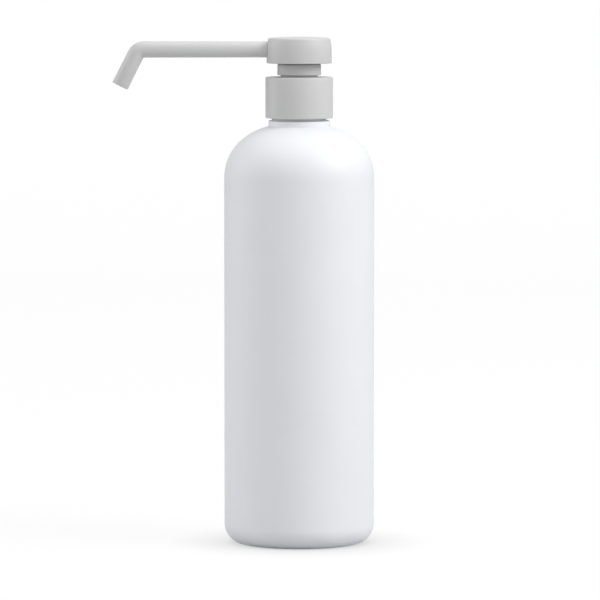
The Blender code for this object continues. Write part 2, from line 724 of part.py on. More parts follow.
def make_head():
    """The head: a hollow drum with a stem boss, a spout socket, ribs and a lock thread."""
    side_top = HEAD_HEIGHT - HEAD_EDGE
    edge_radius = head_side(side_top) - HEAD_EDGE
    top_z = HEAD_EDGE_Z + HEAD_DOME
    dome = []
    for step in range(3):
        radius = edge_radius * step / 3
        dome.append((radius, top_z - HEAD_DOME * (radius / edge_radius) ** 2))
    edge = arc((edge_radius, HEAD_EDGE_Z - HEAD_EDGE), (HEAD_EDGE, HEAD_EDGE), 90, 0, 3)
    side = []
    for step in range(1, 4):
        height = side_top + (HEAD_TAPER_START - side_top) * step / 3
        side.append((head_side(height), HEAD_Z + height))
    foot = arc(
        (HEAD_RADIUS - HEAD_BOTTOM_EDGE, HEAD_Z + HEAD_BOTTOM_EDGE),
        (HEAD_BOTTOM_EDGE, HEAD_BOTTOM_EDGE), 0, -90, 2,
    )
    ceiling = HEAD_EDGE_Z - HEAD_TOP_WALL
    channel = STEM_RADIUS - STEM_WALL
    inside = [
        (HEAD_RADIUS - HEAD_WALL, HEAD_Z),
        (HEAD_RADIUS - HEAD_WALL, HEAD_Z + HEAD_TAPER_START),
        (head_side(side_top) - HEAD_WALL, ceiling),
        (BOSS_RADIUS, ceiling),
        (BOSS_RADIUS, BOSS_Z),
        (STEM_RADIUS + SEAT_GAP, BOSS_Z),
        (STEM_RADIUS + SEAT_GAP, SOCKET_TOP_Z),
        (channel, SOCKET_TOP_Z),
        (channel, SPOUT_Z),
        (0.0, SPOUT_Z),
    ]
    piece = turned("head", dome + edge + side + foot + inside, CAP_SIDES, ring=False)

    socket_radius = SPOUT_SOCKET_BORE + SPOUT_SOCKET_WALL
    wall_core = HEAD_RADIUS - HEAD_WALL + WALL_BITE
    for index, angle in enumerate(HEAD_RIB_ANGLES):
        rib = block_tool(
            f"head_rib_{index + 1}",
            (BOSS_RADIUS - OVERLAP, -HEAD_RIB_WIDTH / 2, ceiling - HEAD_RIB_DEPTH),
            (wall_core, HEAD_RIB_WIDTH / 2, ceiling + OVERLAP),
            angle,
        )
        boolean(piece, "UNION", rib)
    socket = rod_tool(
        "spout_socket", socket_radius, (SPOUT_SOCKET_BITE - BOSS_RADIUS, 0.0, SPOUT_Z),
        (-wall_core, 0.0, SPOUT_Z), 24,
    )
    boolean(piece, "UNION", socket)
    seat = rod_tool(
        "spout_seat", SPOUT_SOCKET_BORE, (SPOUT_ROOT_X + SEAT_GAP, 0.0, SPOUT_Z),
        (-2 * HEAD_RADIUS, 0.0, SPOUT_Z), 24,
    )
    boolean(piece, "DIFFERENCE", seat)
    bore = rod_tool("spout_channel", SPOUT_BORE, (0.0, 0.0, SPOUT_Z), (2 * SPOUT_ROOT_X, 0.0, SPOUT_Z), 24)
    boolean(piece, "DIFFERENCE", bore)
    ridge = helical_ridge(
        "lock_thread", BOSS_RADIUS, 1, BOSS_Z + LOCK_RISE, 0.0, LOCK_TURNS,
        (LOCK_PITCH, LOCK_HEIGHT, LOCK_ROOT_WIDTH, LOCK_CREST_WIDTH),
    )
    boolean(piece, "UNION", ridge)
    return piece


def spout_line():
    """Points and shares of length along the spout's centreline, from the head to the tip."""
    corner = Vector((SPOUT_CORNER_X, 0.0, SPOUT_Z))
    along = Vector((-1.0, 0.0, 0.0))
    down = Vector((-math.cos(SPOUT_LEG_ANGLE), 0.0, -math.sin(SPOUT_LEG_ANGLE)))
    tangent = SPOUT_TURN_RADIUS * math.tan(SPOUT_LEG_ANGLE / 2)
    start = Vector((SPOUT_ROOT_X, 0.0, SPOUT_Z))
    bend_start = corner - along * tangent
    centre = bend_start - Vector((0.0, 0.0, SPOUT_TURN_RADIUS))
    points = [start.lerp(bend_start, step / SPOUT_RUN_POINTS) for step in range(SPOUT_RUN_POINTS)]
    for step in range(SPOUT_TURN_POINTS + 1):
        angle = SPOUT_LEG_ANGLE * step / SPOUT_TURN_POINTS
        points.append(centre + SPOUT_TURN_RADIUS * Vector((-math.sin(angle), 0.0, math.cos(angle))))
    bend_end = corner + down * tangent
    tip = corner + down * SPOUT_LEG
    points += [bend_end.lerp(tip, 0.5), tip]
    return points


def make_spout():
    """The bent spout: a tapered tube with a bore from end to end."""
    points = spout_line()
    reach = abs(SPOUT_CORNER_X - SPOUT_ROOT_X)
    radii = []
    for point in points:
        if point.x > SPOUT_CORNER_X:
            share = abs(point.x - SPOUT_ROOT_X) / reach
            radii.append(SPOUT_ROOT_RADIUS + (SPOUT_BEND_RADIUS - SPOUT_ROOT_RADIUS) * share)
        else:
            share = (points[-1].x - point.x) / (points[-1].x - SPOUT_CORNER_X)
            radii.append(SPOUT_TIP_RADIUS + (SPOUT_BEND_RADIUS - SPOUT_TIP_RADIUS) * share)
    piece = tube("spout", points, radii, 6)
    first = points[0] + (points[0] - points[1]).normalized() * OVERLAP
    last = points[-1] + (points[-1] - points[-2]).normalized() * OVERLAP
    bore_points = [first] + points[1:-1] + [last]
    bore = as_tool(tube("spout_bore", bore_points, [SPOUT_BORE] * len(bore_points), 4))
    boolean(piece, "DIFFERENCE", bore)
    return piece


for old in list(bpy.data.objects):
    bpy.data.objects.remove(old)

pieces = collection("pump_bottle")
tools = collection("cutters")

WHITE_BOTTLE = plastic("bottle_polyethylene", "F2F4F7", 0.45)
GREY_PUMP = plastic("pump_polypropylene", "CDCECF", 0.42)
CLEAR_PUMP = plastic("inner_polypropylene", "E4E6E6", 0.38)
PALE_FOAM = plastic("gasket_foam", "ECECE8", 0.80)
SPRING_STEEL = plastic("spring_steel", "B9BBBE", 0.28, 1.0)

bottle = finish(make_bottle(), WHITE_BOTTLE)
closure = finish(make_closure(), GREY_PUMP)
gasket = finish(make_gasket(), PALE_FOAM)
housing = finish(make_housing(), CLEAR_PUMP)
dip_tube = finish(make_dip_tube(), CLEAR_PUMP)
inlet_ball = finish(make_inlet_ball(), SPRING_STEEL)
chaplet = finish(make_chaplet(), GREY_PUMP)
piston = finish(make_piston(), CLEAR_PUMP)
valve_rod = finish(make_valve_rod(), CLEAR_PUMP)
stem = finish(make_stem(), CLEAR_PUMP)
spring = finish(make_spring(), SPRING_STEEL)
head = finish(make_head(), GREY_PUMP)
spout = finish(make_spout(), GREY_PUMP)

# Each moving body hangs from an empty on the pump's axis
pump_carrier = carrier("pump_carrier", RIM_Z)
closure_carrier = carrier("closure_carrier", CLOSURE_Z, pump_carrier)
ball_carrier = carrier("ball_carrier", BALL_Z, pump_carrier)
piston_carrier = carrier("piston_carrier", PISTON_Z, pump_carrier)
rod_carrier = carrier("rod_carrier", DISC_TOP_Z)
head_carrier = carrier("head_carrier", HEAD_Z)
for child, empty in ((rod_carrier, piston_carrier), (head_carrier, rod_carrier)):
    hang(child, empty)
    bpy.context.view_layer.update()
for piece in (gasket, housing, dip_tube, chaplet, spring):
    hang(piece, pump_carrier)
hang(closure, closure_carrier)
hang(inlet_ball, ball_carrier)
hang(piston, piston_carrier)
hang(valve_rod, rod_carrier)
for piece in (head, spout, stem):
    hang(piece, head_carrier)
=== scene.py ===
# %% [markdown]
# # A pump bottle
# The object is a tall matt white bottle, blown from polyethylene, with a pale grey pump on its
# neck. The pump is locked down, and its long bent spout points left.
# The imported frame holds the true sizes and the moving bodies, so this lesson starts by loading it.
# Every piece below is made at its real size, in metres, around the bottle's axis.

# %% Load the frame and measure it
import json
import math

import bmesh
import bpy
from mathutils import Matrix, Vector

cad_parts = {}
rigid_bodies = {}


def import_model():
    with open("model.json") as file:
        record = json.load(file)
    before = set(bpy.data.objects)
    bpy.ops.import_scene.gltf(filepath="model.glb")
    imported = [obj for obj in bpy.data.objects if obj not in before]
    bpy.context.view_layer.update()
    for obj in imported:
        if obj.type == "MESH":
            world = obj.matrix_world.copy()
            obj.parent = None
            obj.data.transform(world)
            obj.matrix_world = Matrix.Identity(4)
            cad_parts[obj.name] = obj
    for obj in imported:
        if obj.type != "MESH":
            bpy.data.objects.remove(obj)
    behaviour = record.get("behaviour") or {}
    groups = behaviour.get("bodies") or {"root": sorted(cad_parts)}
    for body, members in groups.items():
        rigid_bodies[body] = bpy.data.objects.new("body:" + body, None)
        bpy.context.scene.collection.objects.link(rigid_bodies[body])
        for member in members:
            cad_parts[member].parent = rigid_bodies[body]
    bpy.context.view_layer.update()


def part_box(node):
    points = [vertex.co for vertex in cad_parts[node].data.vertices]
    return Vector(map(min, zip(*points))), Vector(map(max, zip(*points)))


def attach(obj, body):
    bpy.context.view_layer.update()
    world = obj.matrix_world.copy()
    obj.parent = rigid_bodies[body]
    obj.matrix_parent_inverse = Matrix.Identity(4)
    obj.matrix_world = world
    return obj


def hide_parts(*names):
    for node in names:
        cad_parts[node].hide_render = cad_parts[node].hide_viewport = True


for old in list(bpy.data.objects):
    bpy.data.objects.remove(old)

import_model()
MM = 0.001

bottle_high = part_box("bottle")[1]
closure_low, closure_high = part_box("closure")
chaplet_low, chaplet_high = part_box("chaplet")
head_low, head_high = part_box("head")
stem_low, stem_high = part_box("stem")
spout_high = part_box("spout")[1]
spring_low, spring_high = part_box("spring")
print("bottle", round(2 * bottle_high.x / MM, 1), "mm wide")
print("whole object", round(head_high.z / MM, 1), "mm tall")

# %% [markdown]
# ## Three small tools
# A colour is written as the sRGB hex value that a paint program shows, and one function turns it
# into the linear numbers that a shader takes. A node is added together with its settings and its
# links, so that a tree reads from top to bottom. A sum in a tree is one call that names what it does.

# %% Colour and nodes


def linear(hex_colour):
    """Linear RGBA of an sRGB hex colour."""
    channels = [int(hex_colour[i:i + 2], 16) / 255 for i in (0, 2, 4)]
    bright = [c / 12.92 if c <= 0.04045 else ((c + 0.055) / 1.055) ** 2.4 for c in channels]
    return (*bright, 1.0)


def add(tree, kind, inputs=None, **settings):
    """Add one node. inputs gives each socket a value, or the socket that feeds it."""
    node = tree.nodes.new(kind)
    for name, value in settings.items():
        setattr(node, name, value)
    for key, value in (inputs or {}).items():
        if isinstance(value, bpy.types.NodeSocket):
            tree.links.new(value, node.inputs[key])
        else:
            node.inputs[key].default_value = value
    return node


def maths(tree, operation, *values):
    """The result of one math node on numbers or sockets."""
    return add(tree, "ShaderNodeMath", dict(enumerate(values)), operation=operation).outputs[0]


print("pure white is", linear("FFFFFF")[:3])

# %% [markdown]
# ## The bottle's plastic
# High-density polyethylene is milky: light goes a little way in and comes out soft, so the
# bottle needs subsurface scattering over about a millimetre. The mould was sandblasted, which
# leaves a fine matt grain of 0.2 to 0.4 mm. It is drawn a little coarser here, so that it shows.
# A blown bottle also has a parting line where the two halves of its mould met. It runs down both
# sides and across the base, and it stands only a few hundredths of a millimetre high, so it is
# bump and not geometry.

# %% Matt blown polyethylene
BLAST_GRAIN = 0.45 * MM
WALL_WAVE = 24 * MM
SEAM_WIDTH = 0.22 * MM


def new_material(name, slot_colour, roughness, ior):
    """A Principled material with its fixed values on the shader's own sockets."""
    material = bpy.data.materials.new(name)
    material.use_nodes = True
    shader = material.node_tree.nodes["Principled BSDF"]
    shader.inputs["Base Color"].default_value = linear(slot_colour)
    shader.inputs["Roughness"].default_value = roughness
    shader.inputs["IOR"].default_value = ior
    return material, material.node_tree, shader


def vary_gloss(tree, shader, noise, low, high):
    """Let a noise move the roughness between two values."""
    gloss = add(tree, "ShaderNodeMapRange", {
        "Value": noise.outputs["Fac"], "From Min": 0.3, "From Max": 0.7, "To Min": low, "To Max": high})
    tree.links.new(gloss.outputs["Result"], shader.inputs["Roughness"])


def matt_blown_polyethylene():
    """White HDPE: soft depth, blasted grain, slow waves of the wall and a faint mould seam."""
    material, tree, shader = new_material("matt_blown_polyethylene", "F3F4F6", 0.5, 1.54)
    shader.inputs["Subsurface Weight"].default_value = 0.25
    shader.inputs["Subsurface Radius"].default_value = (1.0, 1.0, 1.05)
    shader.inputs["Subsurface Scale"].default_value = 1.2 * MM
    place = add(tree, "ShaderNodeTexCoord").outputs["Object"]

    grain = add(tree, "ShaderNodeTexNoise", {
        "Vector": place, "Scale": 1 / BLAST_GRAIN, "Detail": 2.0, "Roughness": 0.5})
    wave = add(tree, "ShaderNodeTexNoise", {
        "Vector": place, "Scale": 1 / WALL_WAVE, "Detail": 1.0, "Roughness": 0.4})
    vary_gloss(tree, shader, grain, 0.46, 0.56)

    tint = add(tree, "ShaderNodeMix", {
        "Factor": wave.outputs["Fac"], 6: linear("EFF1F6"), 7: linear("F3F5F9")}, data_type="RGBA")
    tree.links.new(tint.outputs[2], shader.inputs["Base Color"])

    across = add(tree, "ShaderNodeSeparateXYZ", {"Vector": place}).outputs["Y"]
    seam = add(tree, "ShaderNodeMapRange", {
        "Value": maths(tree, "ABSOLUTE", across), "From Min": 0.0, "From Max": SEAM_WIDTH,
        "To Min": 1.0, "To Max": 0.0}, interpolation_type="SMOOTHSTEP")
    seam_bump = add(tree, "ShaderNodeBump", {
        "Height": seam.outputs["Result"], "Strength": 0.35, "Distance": 0.05 * MM})
    wave_bump = add(tree, "ShaderNodeBump", {
        "Height": wave.outputs["Fac"], "Strength": 0.25, "Distance": 0.25 * MM,
        "Normal": seam_bump.outputs["Normal"]})
    grain_bump = add(tree, "ShaderNodeBump", {
        "Height": grain.outputs["Fac"], "Strength": 0.22, "Distance": 0.03 * MM,
        "Normal": wave_bump.outputs["Normal"]})
    tree.links.new(grain_bump.outputs["Normal"], shader.inputs["Normal"])
    return material


bottle_plastic = matt_blown_polyethylene()
print("grain", round(BLAST_GRAIN / MM, 2), "mm, seam", round(2 * SEAM_WIDTH / MM, 2), "mm wide")

# %% [markdown]
# ## The pump's plastic
# Closure, chaplet, head and spout are injection-moulded polypropylene in a pale neutral grey. The
# tool was finely eroded, so the surface is satin: a broad soft sheen and no sharp reflection.
# Moulding leaves very slow swirls in the gloss, which are kept faint.

# %% Satin moulded polypropylene
EROSION_GRAIN = 0.30 * MM
MELT_SWIRL = 9 * MM


def satin_polypropylene(name, hex_colour, roughness, depth):
    """Moulded PP: satin gloss, fine eroded grain, and a soft depth of so many millimetres."""
    material, tree, shader = new_material(name, hex_colour, roughness, 1.49)
    shader.inputs["Subsurface Weight"].default_value = 0.12
    shader.inputs["Subsurface Radius"].default_value = (1.0, 1.0, 1.0)
    shader.inputs["Subsurface Scale"].default_value = depth
    place = add(tree, "ShaderNodeTexCoord").outputs["Object"]
    grain = add(tree, "ShaderNodeTexNoise", {
        "Vector": place, "Scale": 1 / EROSION_GRAIN, "Detail": 2.0, "Roughness": 0.55})
    swirl = add(tree, "ShaderNodeTexNoise", {
        "Vector": place, "Scale": 1 / MELT_SWIRL, "Detail": 2.0, "Roughness": 0.5, "Distortion": 0.6})
    vary_gloss(tree, shader, swirl, roughness - 0.03, roughness + 0.03)
    bump = add(tree, "ShaderNodeBump", {
        "Height": grain.outputs["Fac"], "Strength": 0.16, "Distance": 0.02 * MM})
    tree.links.new(bump.outputs["Normal"], shader.inputs["Normal"])
    return material


pump_plastic = satin_polypropylene("satin_moulded_polypropylene", "D2D2D2", 0.42, 0.6 * MM)
clear_plastic = satin_polypropylene("natural_polypropylene", "E6E8E8", 0.34, 1.6 * MM)
clear_plastic.node_tree.nodes["Principled BSDF"].inputs["Transmission Weight"].default_value = 0.25
print("pump materials:", pump_plastic.name, "and", clear_plastic.name)

# %% [markdown]
# ## Gasket foam and spring steel
# The gasket is punched from polyethylene foam sheet: dead matt, with closed cells of about half a
# millimetre. The spring and the check ball are stainless steel. Drawn wire has faint lines along
# its length, which blur its highlight.

# %% Foam and steel
FOAM_CELL = 0.5 * MM
DRAW_LINE = 0.12 * MM


def closed_cell_foam():
    """Polyethylene foam sheet with small closed cells."""
    material, tree, shader = new_material("closed_cell_foam", "ECECE8", 0.85, 1.5)
    place = add(tree, "ShaderNodeTexCoord").outputs["Object"]
    cells = add(tree, "ShaderNodeTexVoronoi", {"Vector": place, "Scale": 1 / FOAM_CELL})
    bump = add(tree, "ShaderNodeBump", {
        "Height": cells.outputs["Distance"], "Strength": 0.5, "Distance": 0.1 * MM})
    tree.links.new(bump.outputs["Normal"], shader.inputs["Normal"])
    return material


def drawn_stainless_steel():
    """Drawn stainless wire: metallic, with its highlight blurred by fine draw lines."""
    material, tree, shader = new_material("drawn_stainless_steel", "C4C6C9", 0.24, 1.5)
    shader.inputs["Metallic"].default_value = 1.0
    place = add(tree, "ShaderNodeTexCoord").outputs["Object"]
    flat = add(tree, "ShaderNodeMapping", {"Vector": place, "Scale": (0.15, 0.15, 1.0)})
    lines = add(tree, "ShaderNodeTexNoise", {
        "Vector": flat.outputs["Vector"], "Scale": 1 / DRAW_LINE, "Detail": 1.0})
    vary_gloss(tree, shader, lines, 0.18, 0.32)
    return material


gasket_foam = closed_cell_foam()
steel = drawn_stainless_steel()
print("inner materials:", gasket_foam.name, "and", steel.name)

# %% [markdown]
# ## A lathe in Geometry Nodes
# Almost every piece of a dispenser is round, so its shape is one profile turned about the axis.
# A Screw modifier would do it, but moulded edges are never sharp, and each corner has a radius of
# its own. Geometry Nodes can round each corner of a profile by a value that the point carries, and
# then sweep the profile round a circle. So a piece is a short list of corners: radius, height and
# edge rounding.

# %% The lathe
AXIS_HOLE = 0.0001 * MM


def new_tree(name, sockets):
    """A Geometry Nodes group with named inputs, its input node and a function that ends it."""
    tree = bpy.data.node_groups.new(name, "GeometryNodeTree")
    tree.interface.new_socket("Geometry", in_out="OUTPUT", socket_type="NodeSocketGeometry")
    tree.interface.new_socket("Geometry", in_out="INPUT", socket_type="NodeSocketGeometry")
    for label, kind in sockets.items():
        tree.interface.new_socket(label, in_out="INPUT", socket_type=f"NodeSocket{kind}")
    source = add(tree, "NodeGroupInput").outputs

    def end(mesh, smooth=True):
        whole = add(tree, "GeometryNodeRealizeInstances", {"Geometry": mesh})
        shaded = add(tree, "GeometryNodeSetShadeSmooth", {
            "Geometry": whole.outputs[0], "Shade Smooth": smooth})
        dressed = add(tree, "GeometryNodeSetMaterial", {
            "Geometry": shaded.outputs[0], "Material": source["Material"]})
        add(tree, "NodeGroupOutput", {"Geometry": dressed.outputs[0]})
        return tree

    return tree, source, end


def lathe_tree():
    """Turns a profile that lies in the XY plane, X outwards and Y down, about the Z axis."""
    tree, source, end = new_tree("lathe", {"Sides": "Int", "Edge Steps": "Int", "Material": "Material"})
    line = add(tree, "GeometryNodeMeshToCurve", {"Mesh": source["Geometry"]})
    edge = add(tree, "GeometryNodeInputNamedAttribute", {"Name": "edge"}, data_type="FLOAT")
    soft = add(tree, "GeometryNodeFilletCurve", {
        "Curve": line.outputs[0], "Radius": edge.outputs["Attribute"],
        "Limit Radius": True}, mode="POLY")
    tree.links.new(source["Edge Steps"], soft.inputs["Count"])
    circle = add(tree, "GeometryNodeCurvePrimitiveCircle", {
        "Resolution": source["Sides"], "Radius": AXIS_HOLE}, mode="RADIUS")
    upright = add(tree, "GeometryNodeSetCurveNormal", {"Curve": circle.outputs["Curve"]}, mode="Z_UP")
    swept = add(tree, "GeometryNodeCurveToMesh", {
        "Curve": upright.outputs[0], "Profile Curve": soft.outputs[0]})
    joined = add(tree, "GeometryNodeMergeByDistance", {
        "Geometry": swept.outputs[0], "Distance": 10 * AXIS_HOLE})
    return end(joined.outputs[0])


lathe = lathe_tree()


def run_tree(piece, tree, values):
    """Run a tree on an object with the values given by name, and keep the result as a plain mesh."""
    step = piece.modifiers.new(tree.name, "NODES")
    step.node_group = tree
    for item in tree.interface.items_tree:
        if item.in_out == "INPUT" and item.name in values:
            step[item.identifier] = values[item.name]
    return bake(piece)


def bake(piece):
    """Apply every modifier, merge doubles and turn the faces outwards."""
    bpy.context.view_layer.update()
    graph = bpy.context.evaluated_depsgraph_get()
    mesh = bpy.data.meshes.new_from_object(piece.evaluated_get(graph))
    form = bmesh.new()
    form.from_mesh(mesh)
    bmesh.ops.remove_doubles(form, verts=form.verts, dist=0.0005 * MM)
    bmesh.ops.recalc_face_normals(form, faces=form.faces)
    form.to_mesh(mesh)
    form.free()
    piece.modifiers.clear()
    piece.data = mesh
    return piece


def piece_from(name, corners, links, edges=None):
    """An object from points and the links between them, with an edge rounding on each point."""
    mesh = bpy.data.meshes.new(name)
    mesh.from_pydata(corners, links, [])
    if edges:
        mesh.attributes.new("edge", "FLOAT", "POINT").data.foreach_set("value", edges)
    piece = bpy.data.objects.new(name, mesh)
    bpy.context.scene.collection.objects.link(piece)
    return piece


def turn(name, profile, material, sides=128, ring=True, edge_steps=4):
    """Turn a profile of (radius, height, edge rounding) corners into a finished piece."""
    corners = [(radius - AXIS_HOLE, -height, 0.0) for radius, height, _ in profile]
    links = [(i, i + 1) for i in range(len(profile) - 1)]
    if ring:
        links.append((len(profile) - 1, 0))
    piece = piece_from(name, corners, links, [edge for _, _, edge in profile])
    return run_tree(piece, lathe, {"Sides": sides, "Edge Steps": edge_steps, "Material": material})


print("lathe inputs:", [item.name for item in lathe.interface.items_tree if item.in_out == "INPUT"])

# %% [markdown]
# ## The thread ridges
# A thread is one ridge that follows a helix. On the real bottle it is a trapezoid 1.2 mm high that
# starts and ends in a soft run-out. The tree below sweeps a trapezoid along a spiral and lets it
# fade at both ends. It serves three times: on the neck, in the closure and on the head's boss.

# %% A ridge on a helix
RUN_OUT_TURNS = 1 / 6
RUN_OUT_SHARE = 0.05


def fine_line(tree, count):
    """A line with so many points, and each point's share of the way along it."""
    line = add(tree, "GeometryNodeCurvePrimitiveLine")
    fine_points = add(tree, "GeometryNodeResampleCurve", {"Curve": line.outputs[0]}, mode="COUNT")
    tree.links.new(count, fine_points.inputs["Count"])
    return fine_points.outputs[0], add(tree, "GeometryNodeSplineParameter").outputs["Factor"]


def on_helix(tree, line, turned, radius, height):
    """Lay a line's points around the axis, each at its own turn and height."""
    angle = maths(tree, "MULTIPLY", turned, 2 * math.pi)
    place = add(tree, "ShaderNodeCombineXYZ", {
        "X": maths(tree, "MULTIPLY", maths(tree, "COSINE", angle), radius),
        "Y": maths(tree, "MULTIPLY", maths(tree, "SINE", angle), radius), "Z": height})
    return add(tree, "GeometryNodeSetPosition", {
        "Geometry": line, "Position": place.outputs[0]}).outputs[0]


def ridge_tree():
    """Sweeps a trapezoid along a helix that starts at a turn and a height."""
    tree, source, end = new_tree("thread_ridge", {
        "Radius": "Float", "Pitch": "Float", "Turns": "Float", "Start Turn": "Float",
        "Start Height": "Float", "Ridge Height": "Float", "Root": "Float", "Crest": "Float",
        "Outwards": "Float", "Bite": "Float", "Points": "Int", "Material": "Material"})
    line, share = fine_line(tree, source["Points"])
    turned = maths(tree, "MULTIPLY_ADD", share, source["Turns"], source["Start Turn"])
    height = maths(tree, "MULTIPLY_ADD", turned, source["Pitch"], source["Start Height"])
    helix = on_helix(tree, line, turned, source["Radius"], height)
    upright = add(tree, "GeometryNodeSetCurveNormal", {"Curve": helix}, mode="Z_UP")

    nearest_end = maths(tree, "MINIMUM", share, maths(tree, "MULTIPLY_ADD", share, -1.0, 1.0))
    fade = add(tree, "ShaderNodeMapRange", {
        "Value": maths(tree, "MULTIPLY", nearest_end, source["Turns"]),
        "From Min": 0.0, "From Max": RUN_OUT_TURNS, "To Min": RUN_OUT_SHARE, "To Max": 1.0},
        interpolation_type="SMOOTHSTEP")

    inner = maths(tree, "MULTIPLY", maths(tree, "MULTIPLY", source["Bite"], source["Outwards"]), -1.0)
    outer = maths(tree, "MULTIPLY", source["Ridge Height"], source["Outwards"])
    section = add(tree, "GeometryNodeCurvePrimitiveQuadrilateral", mode="POINTS")
    corners = [
        (inner, "Root", -0.5), (outer, "Crest", -0.5), (outer, "Crest", 0.5), (inner, "Root", 0.5)]
    for number, (across, width, side) in enumerate(corners, start=1):
        corner = add(tree, "ShaderNodeCombineXYZ", {
            "X": across, "Y": maths(tree, "MULTIPLY", source[width], side)})
        tree.links.new(corner.outputs[0], section.inputs[f"Point {number}"])
    swept = add(tree, "GeometryNodeCurveToMesh", {
        "Curve": upright.outputs[0], "Profile Curve": section.outputs[0],
        "Scale": fade.outputs["Result"], "Fill Caps": True})
    return end(swept.outputs[0], smooth=False)


ridge = ridge_tree()


def thread(name, material, values):
    """One thread ridge as an object, to be joined to its piece."""
    piece = piece_from(name, [(0.0, 0.0, 0.0)], [])
    return run_tree(piece, ridge, {**values, "Material": material})


def join_or_cut(piece, tool, operation):
    """Join a tool to a piece or cut it away, and remove the tool."""
    step = piece.modifiers.new(operation, "BOOLEAN")
    step.operation = operation
    step.object = tool
    step.solver = "EXACT"
    bake(piece)
    bpy.data.objects.remove(tool)
    return piece


print("ridge inputs:", len([item for item in ridge.interface.items_tree if item.in_out == "INPUT"]))

# %% [markdown]
# ## The bottle
# The body is a straight cylinder. Its shoulder isn't a plain arc: it stays close to the wall for
# longer and then turns in faster, which a superellipse with a power of 2.24 gives. The heel is a
# quarter of an ellipse. Below it the bottle stands on a narrow ring, and the middle of the base is
# pushed up by a little over a millimetre. The neck carries a bead, and above it the thread.

# %% Bottle
SHOULDER_START = 167.5 * MM
SHOULDER_HEIGHT = 26.4 * MM
SHOULDER_POWER = 2.24
HEEL_WIDTH = 8.2 * MM
HEEL_HEIGHT = 9.2 * MM
WALL = 1.0 * MM
BASE_WALL = 1.4 * MM
RING_WIDTH = 2.8 * MM
PUSH_UP = 1.2 * MM
PUSH_UP_SLOPE = 2.2 * MM
BEAD_RADIUS = 14.15 * MM
BEAD_HEIGHT = 2.6 * MM
NECK_RADIUS = 12.5 * MM
NECK_WALL = 1.75 * MM
BODY_RADIUS = bottle_high.x
RIM_HEIGHT = bottle_high.z


def quarter(centre, radii, start, end, steps):
    """Points of an ellipse's arc, with no rounding of their own."""
    points = []
    for step in range(steps + 1):
        angle = math.radians(start + (end - start) * step / steps)
        points.append((
            centre[0] + radii[0] * math.cos(angle), centre[1] + radii[1] * math.sin(angle), 0.0))
    return points


def shoulder(radius, height, stop_radius, steps):
    """Points of the superellipse, from the straight wall up to a radius."""
    power = 2 / SHOULDER_POWER
    last = math.acos((stop_radius / radius) ** (1 / power))
    points = []
    for step in range(steps + 1):
        angle = last * step / steps
        points.append((
            radius * math.cos(angle) ** power, SHOULDER_START + height * math.sin(angle) ** power, 0.0))
    return points


def bottle_profile():
    """The whole wall of the bottle, from its inner floor over the rim to its base."""
    core = BODY_RADIUS - HEEL_WIDTH
    ring_inner = core - RING_WIDTH
    disc = ring_inner - PUSH_UP_SLOPE
    outer_shoulder = shoulder(BODY_RADIUS, SHOULDER_HEIGHT, BEAD_RADIUS, steps=40)
    bead_top = outer_shoulder[-1][1] + BEAD_HEIGHT
    soft = 1.2 * MM
    floor = PUSH_UP + BASE_WALL
    inside = [(0.0, floor, 0.0), (disc, floor, soft), (ring_inner, BASE_WALL, soft)]
    inner_heel = (HEEL_WIDTH - WALL, HEEL_HEIGHT - BASE_WALL)
    inside += quarter((core, HEEL_HEIGHT), inner_heel, -90, 0, steps=14)
    inside += shoulder(
        BODY_RADIUS - WALL, SHOULDER_HEIGHT - WALL, NECK_RADIUS - NECK_WALL, steps=24)
    rim = [(NECK_RADIUS - NECK_WALL, RIM_HEIGHT, 0.2 * MM), (NECK_RADIUS, RIM_HEIGHT, 0.4 * MM)]
    bead = [(NECK_RADIUS, bead_top, 0.3 * MM), (BEAD_RADIUS, bead_top, 0.6 * MM)]
    heel = quarter((core, HEEL_HEIGHT), (HEEL_WIDTH, HEEL_HEIGHT), 0, -90, steps=24)
    base = [(ring_inner, 0.0, soft), (disc, PUSH_UP, soft), (0.0, PUSH_UP, 0.0)]
    return inside + rim + bead + outer_shoulder[::-1] + heel + base


THREAD_PITCH = 4.23 * MM
THREAD_HEIGHT = 1.2 * MM
THREAD_ROOT = 2.1 * MM
THREAD_CREST = 1.2 * MM
THREAD_TURNS = 1.5
THREAD_TOP_DROP = 2.2 * MM
THREAD_BITE = 0.4 * MM
THREAD_CLEARANCE = 0.3 * MM
NECK_THREAD_BASE = RIM_HEIGHT - THREAD_TOP_DROP - THREAD_TURNS * THREAD_PITCH
neck_ridge = {
    "Radius": NECK_RADIUS, "Pitch": THREAD_PITCH, "Turns": THREAD_TURNS, "Start Turn": 0.0,
    "Start Height": NECK_THREAD_BASE, "Ridge Height": THREAD_HEIGHT, "Root": THREAD_ROOT,
    "Crest": THREAD_CREST, "Outwards": 1.0, "Bite": THREAD_BITE, "Points": 145,
}

bottle = turn("bottle_shell", bottle_profile(), bottle_plastic, sides=192, ring=False)
join_or_cut(bottle, thread("neck_ridge", bottle_plastic, neck_ridge), "UNION")
print("bottle:", len(bottle.data.polygons), "faces")

# %% [markdown]
# ## The closure
# The closure is a plain smooth skirt, 31 mm across, with a small radius at its top and bottom
# edges. Its inner thread hangs just under the neck's ridge. Looking from below, the skirt's wall
# is 1.5 mm thick.

# %% Closure
CLOSURE_WALL = 1.5 * MM
CLOSURE_TOP_WALL = 1.3 * MM
WAIST_RADIUS = 8.55 * MM
SLIDE_GAP = 0.35 * MM
CLOSURE_RADIUS = closure_high.x
CLOSURE_BORE = CLOSURE_RADIUS - CLOSURE_WALL
CLOSURE_THREAD_DROP = THREAD_ROOT - (THREAD_ROOT - THREAD_CREST) * (
    CLOSURE_BORE - NECK_RADIUS) / (2 * THREAD_HEIGHT) + THREAD_CLEARANCE

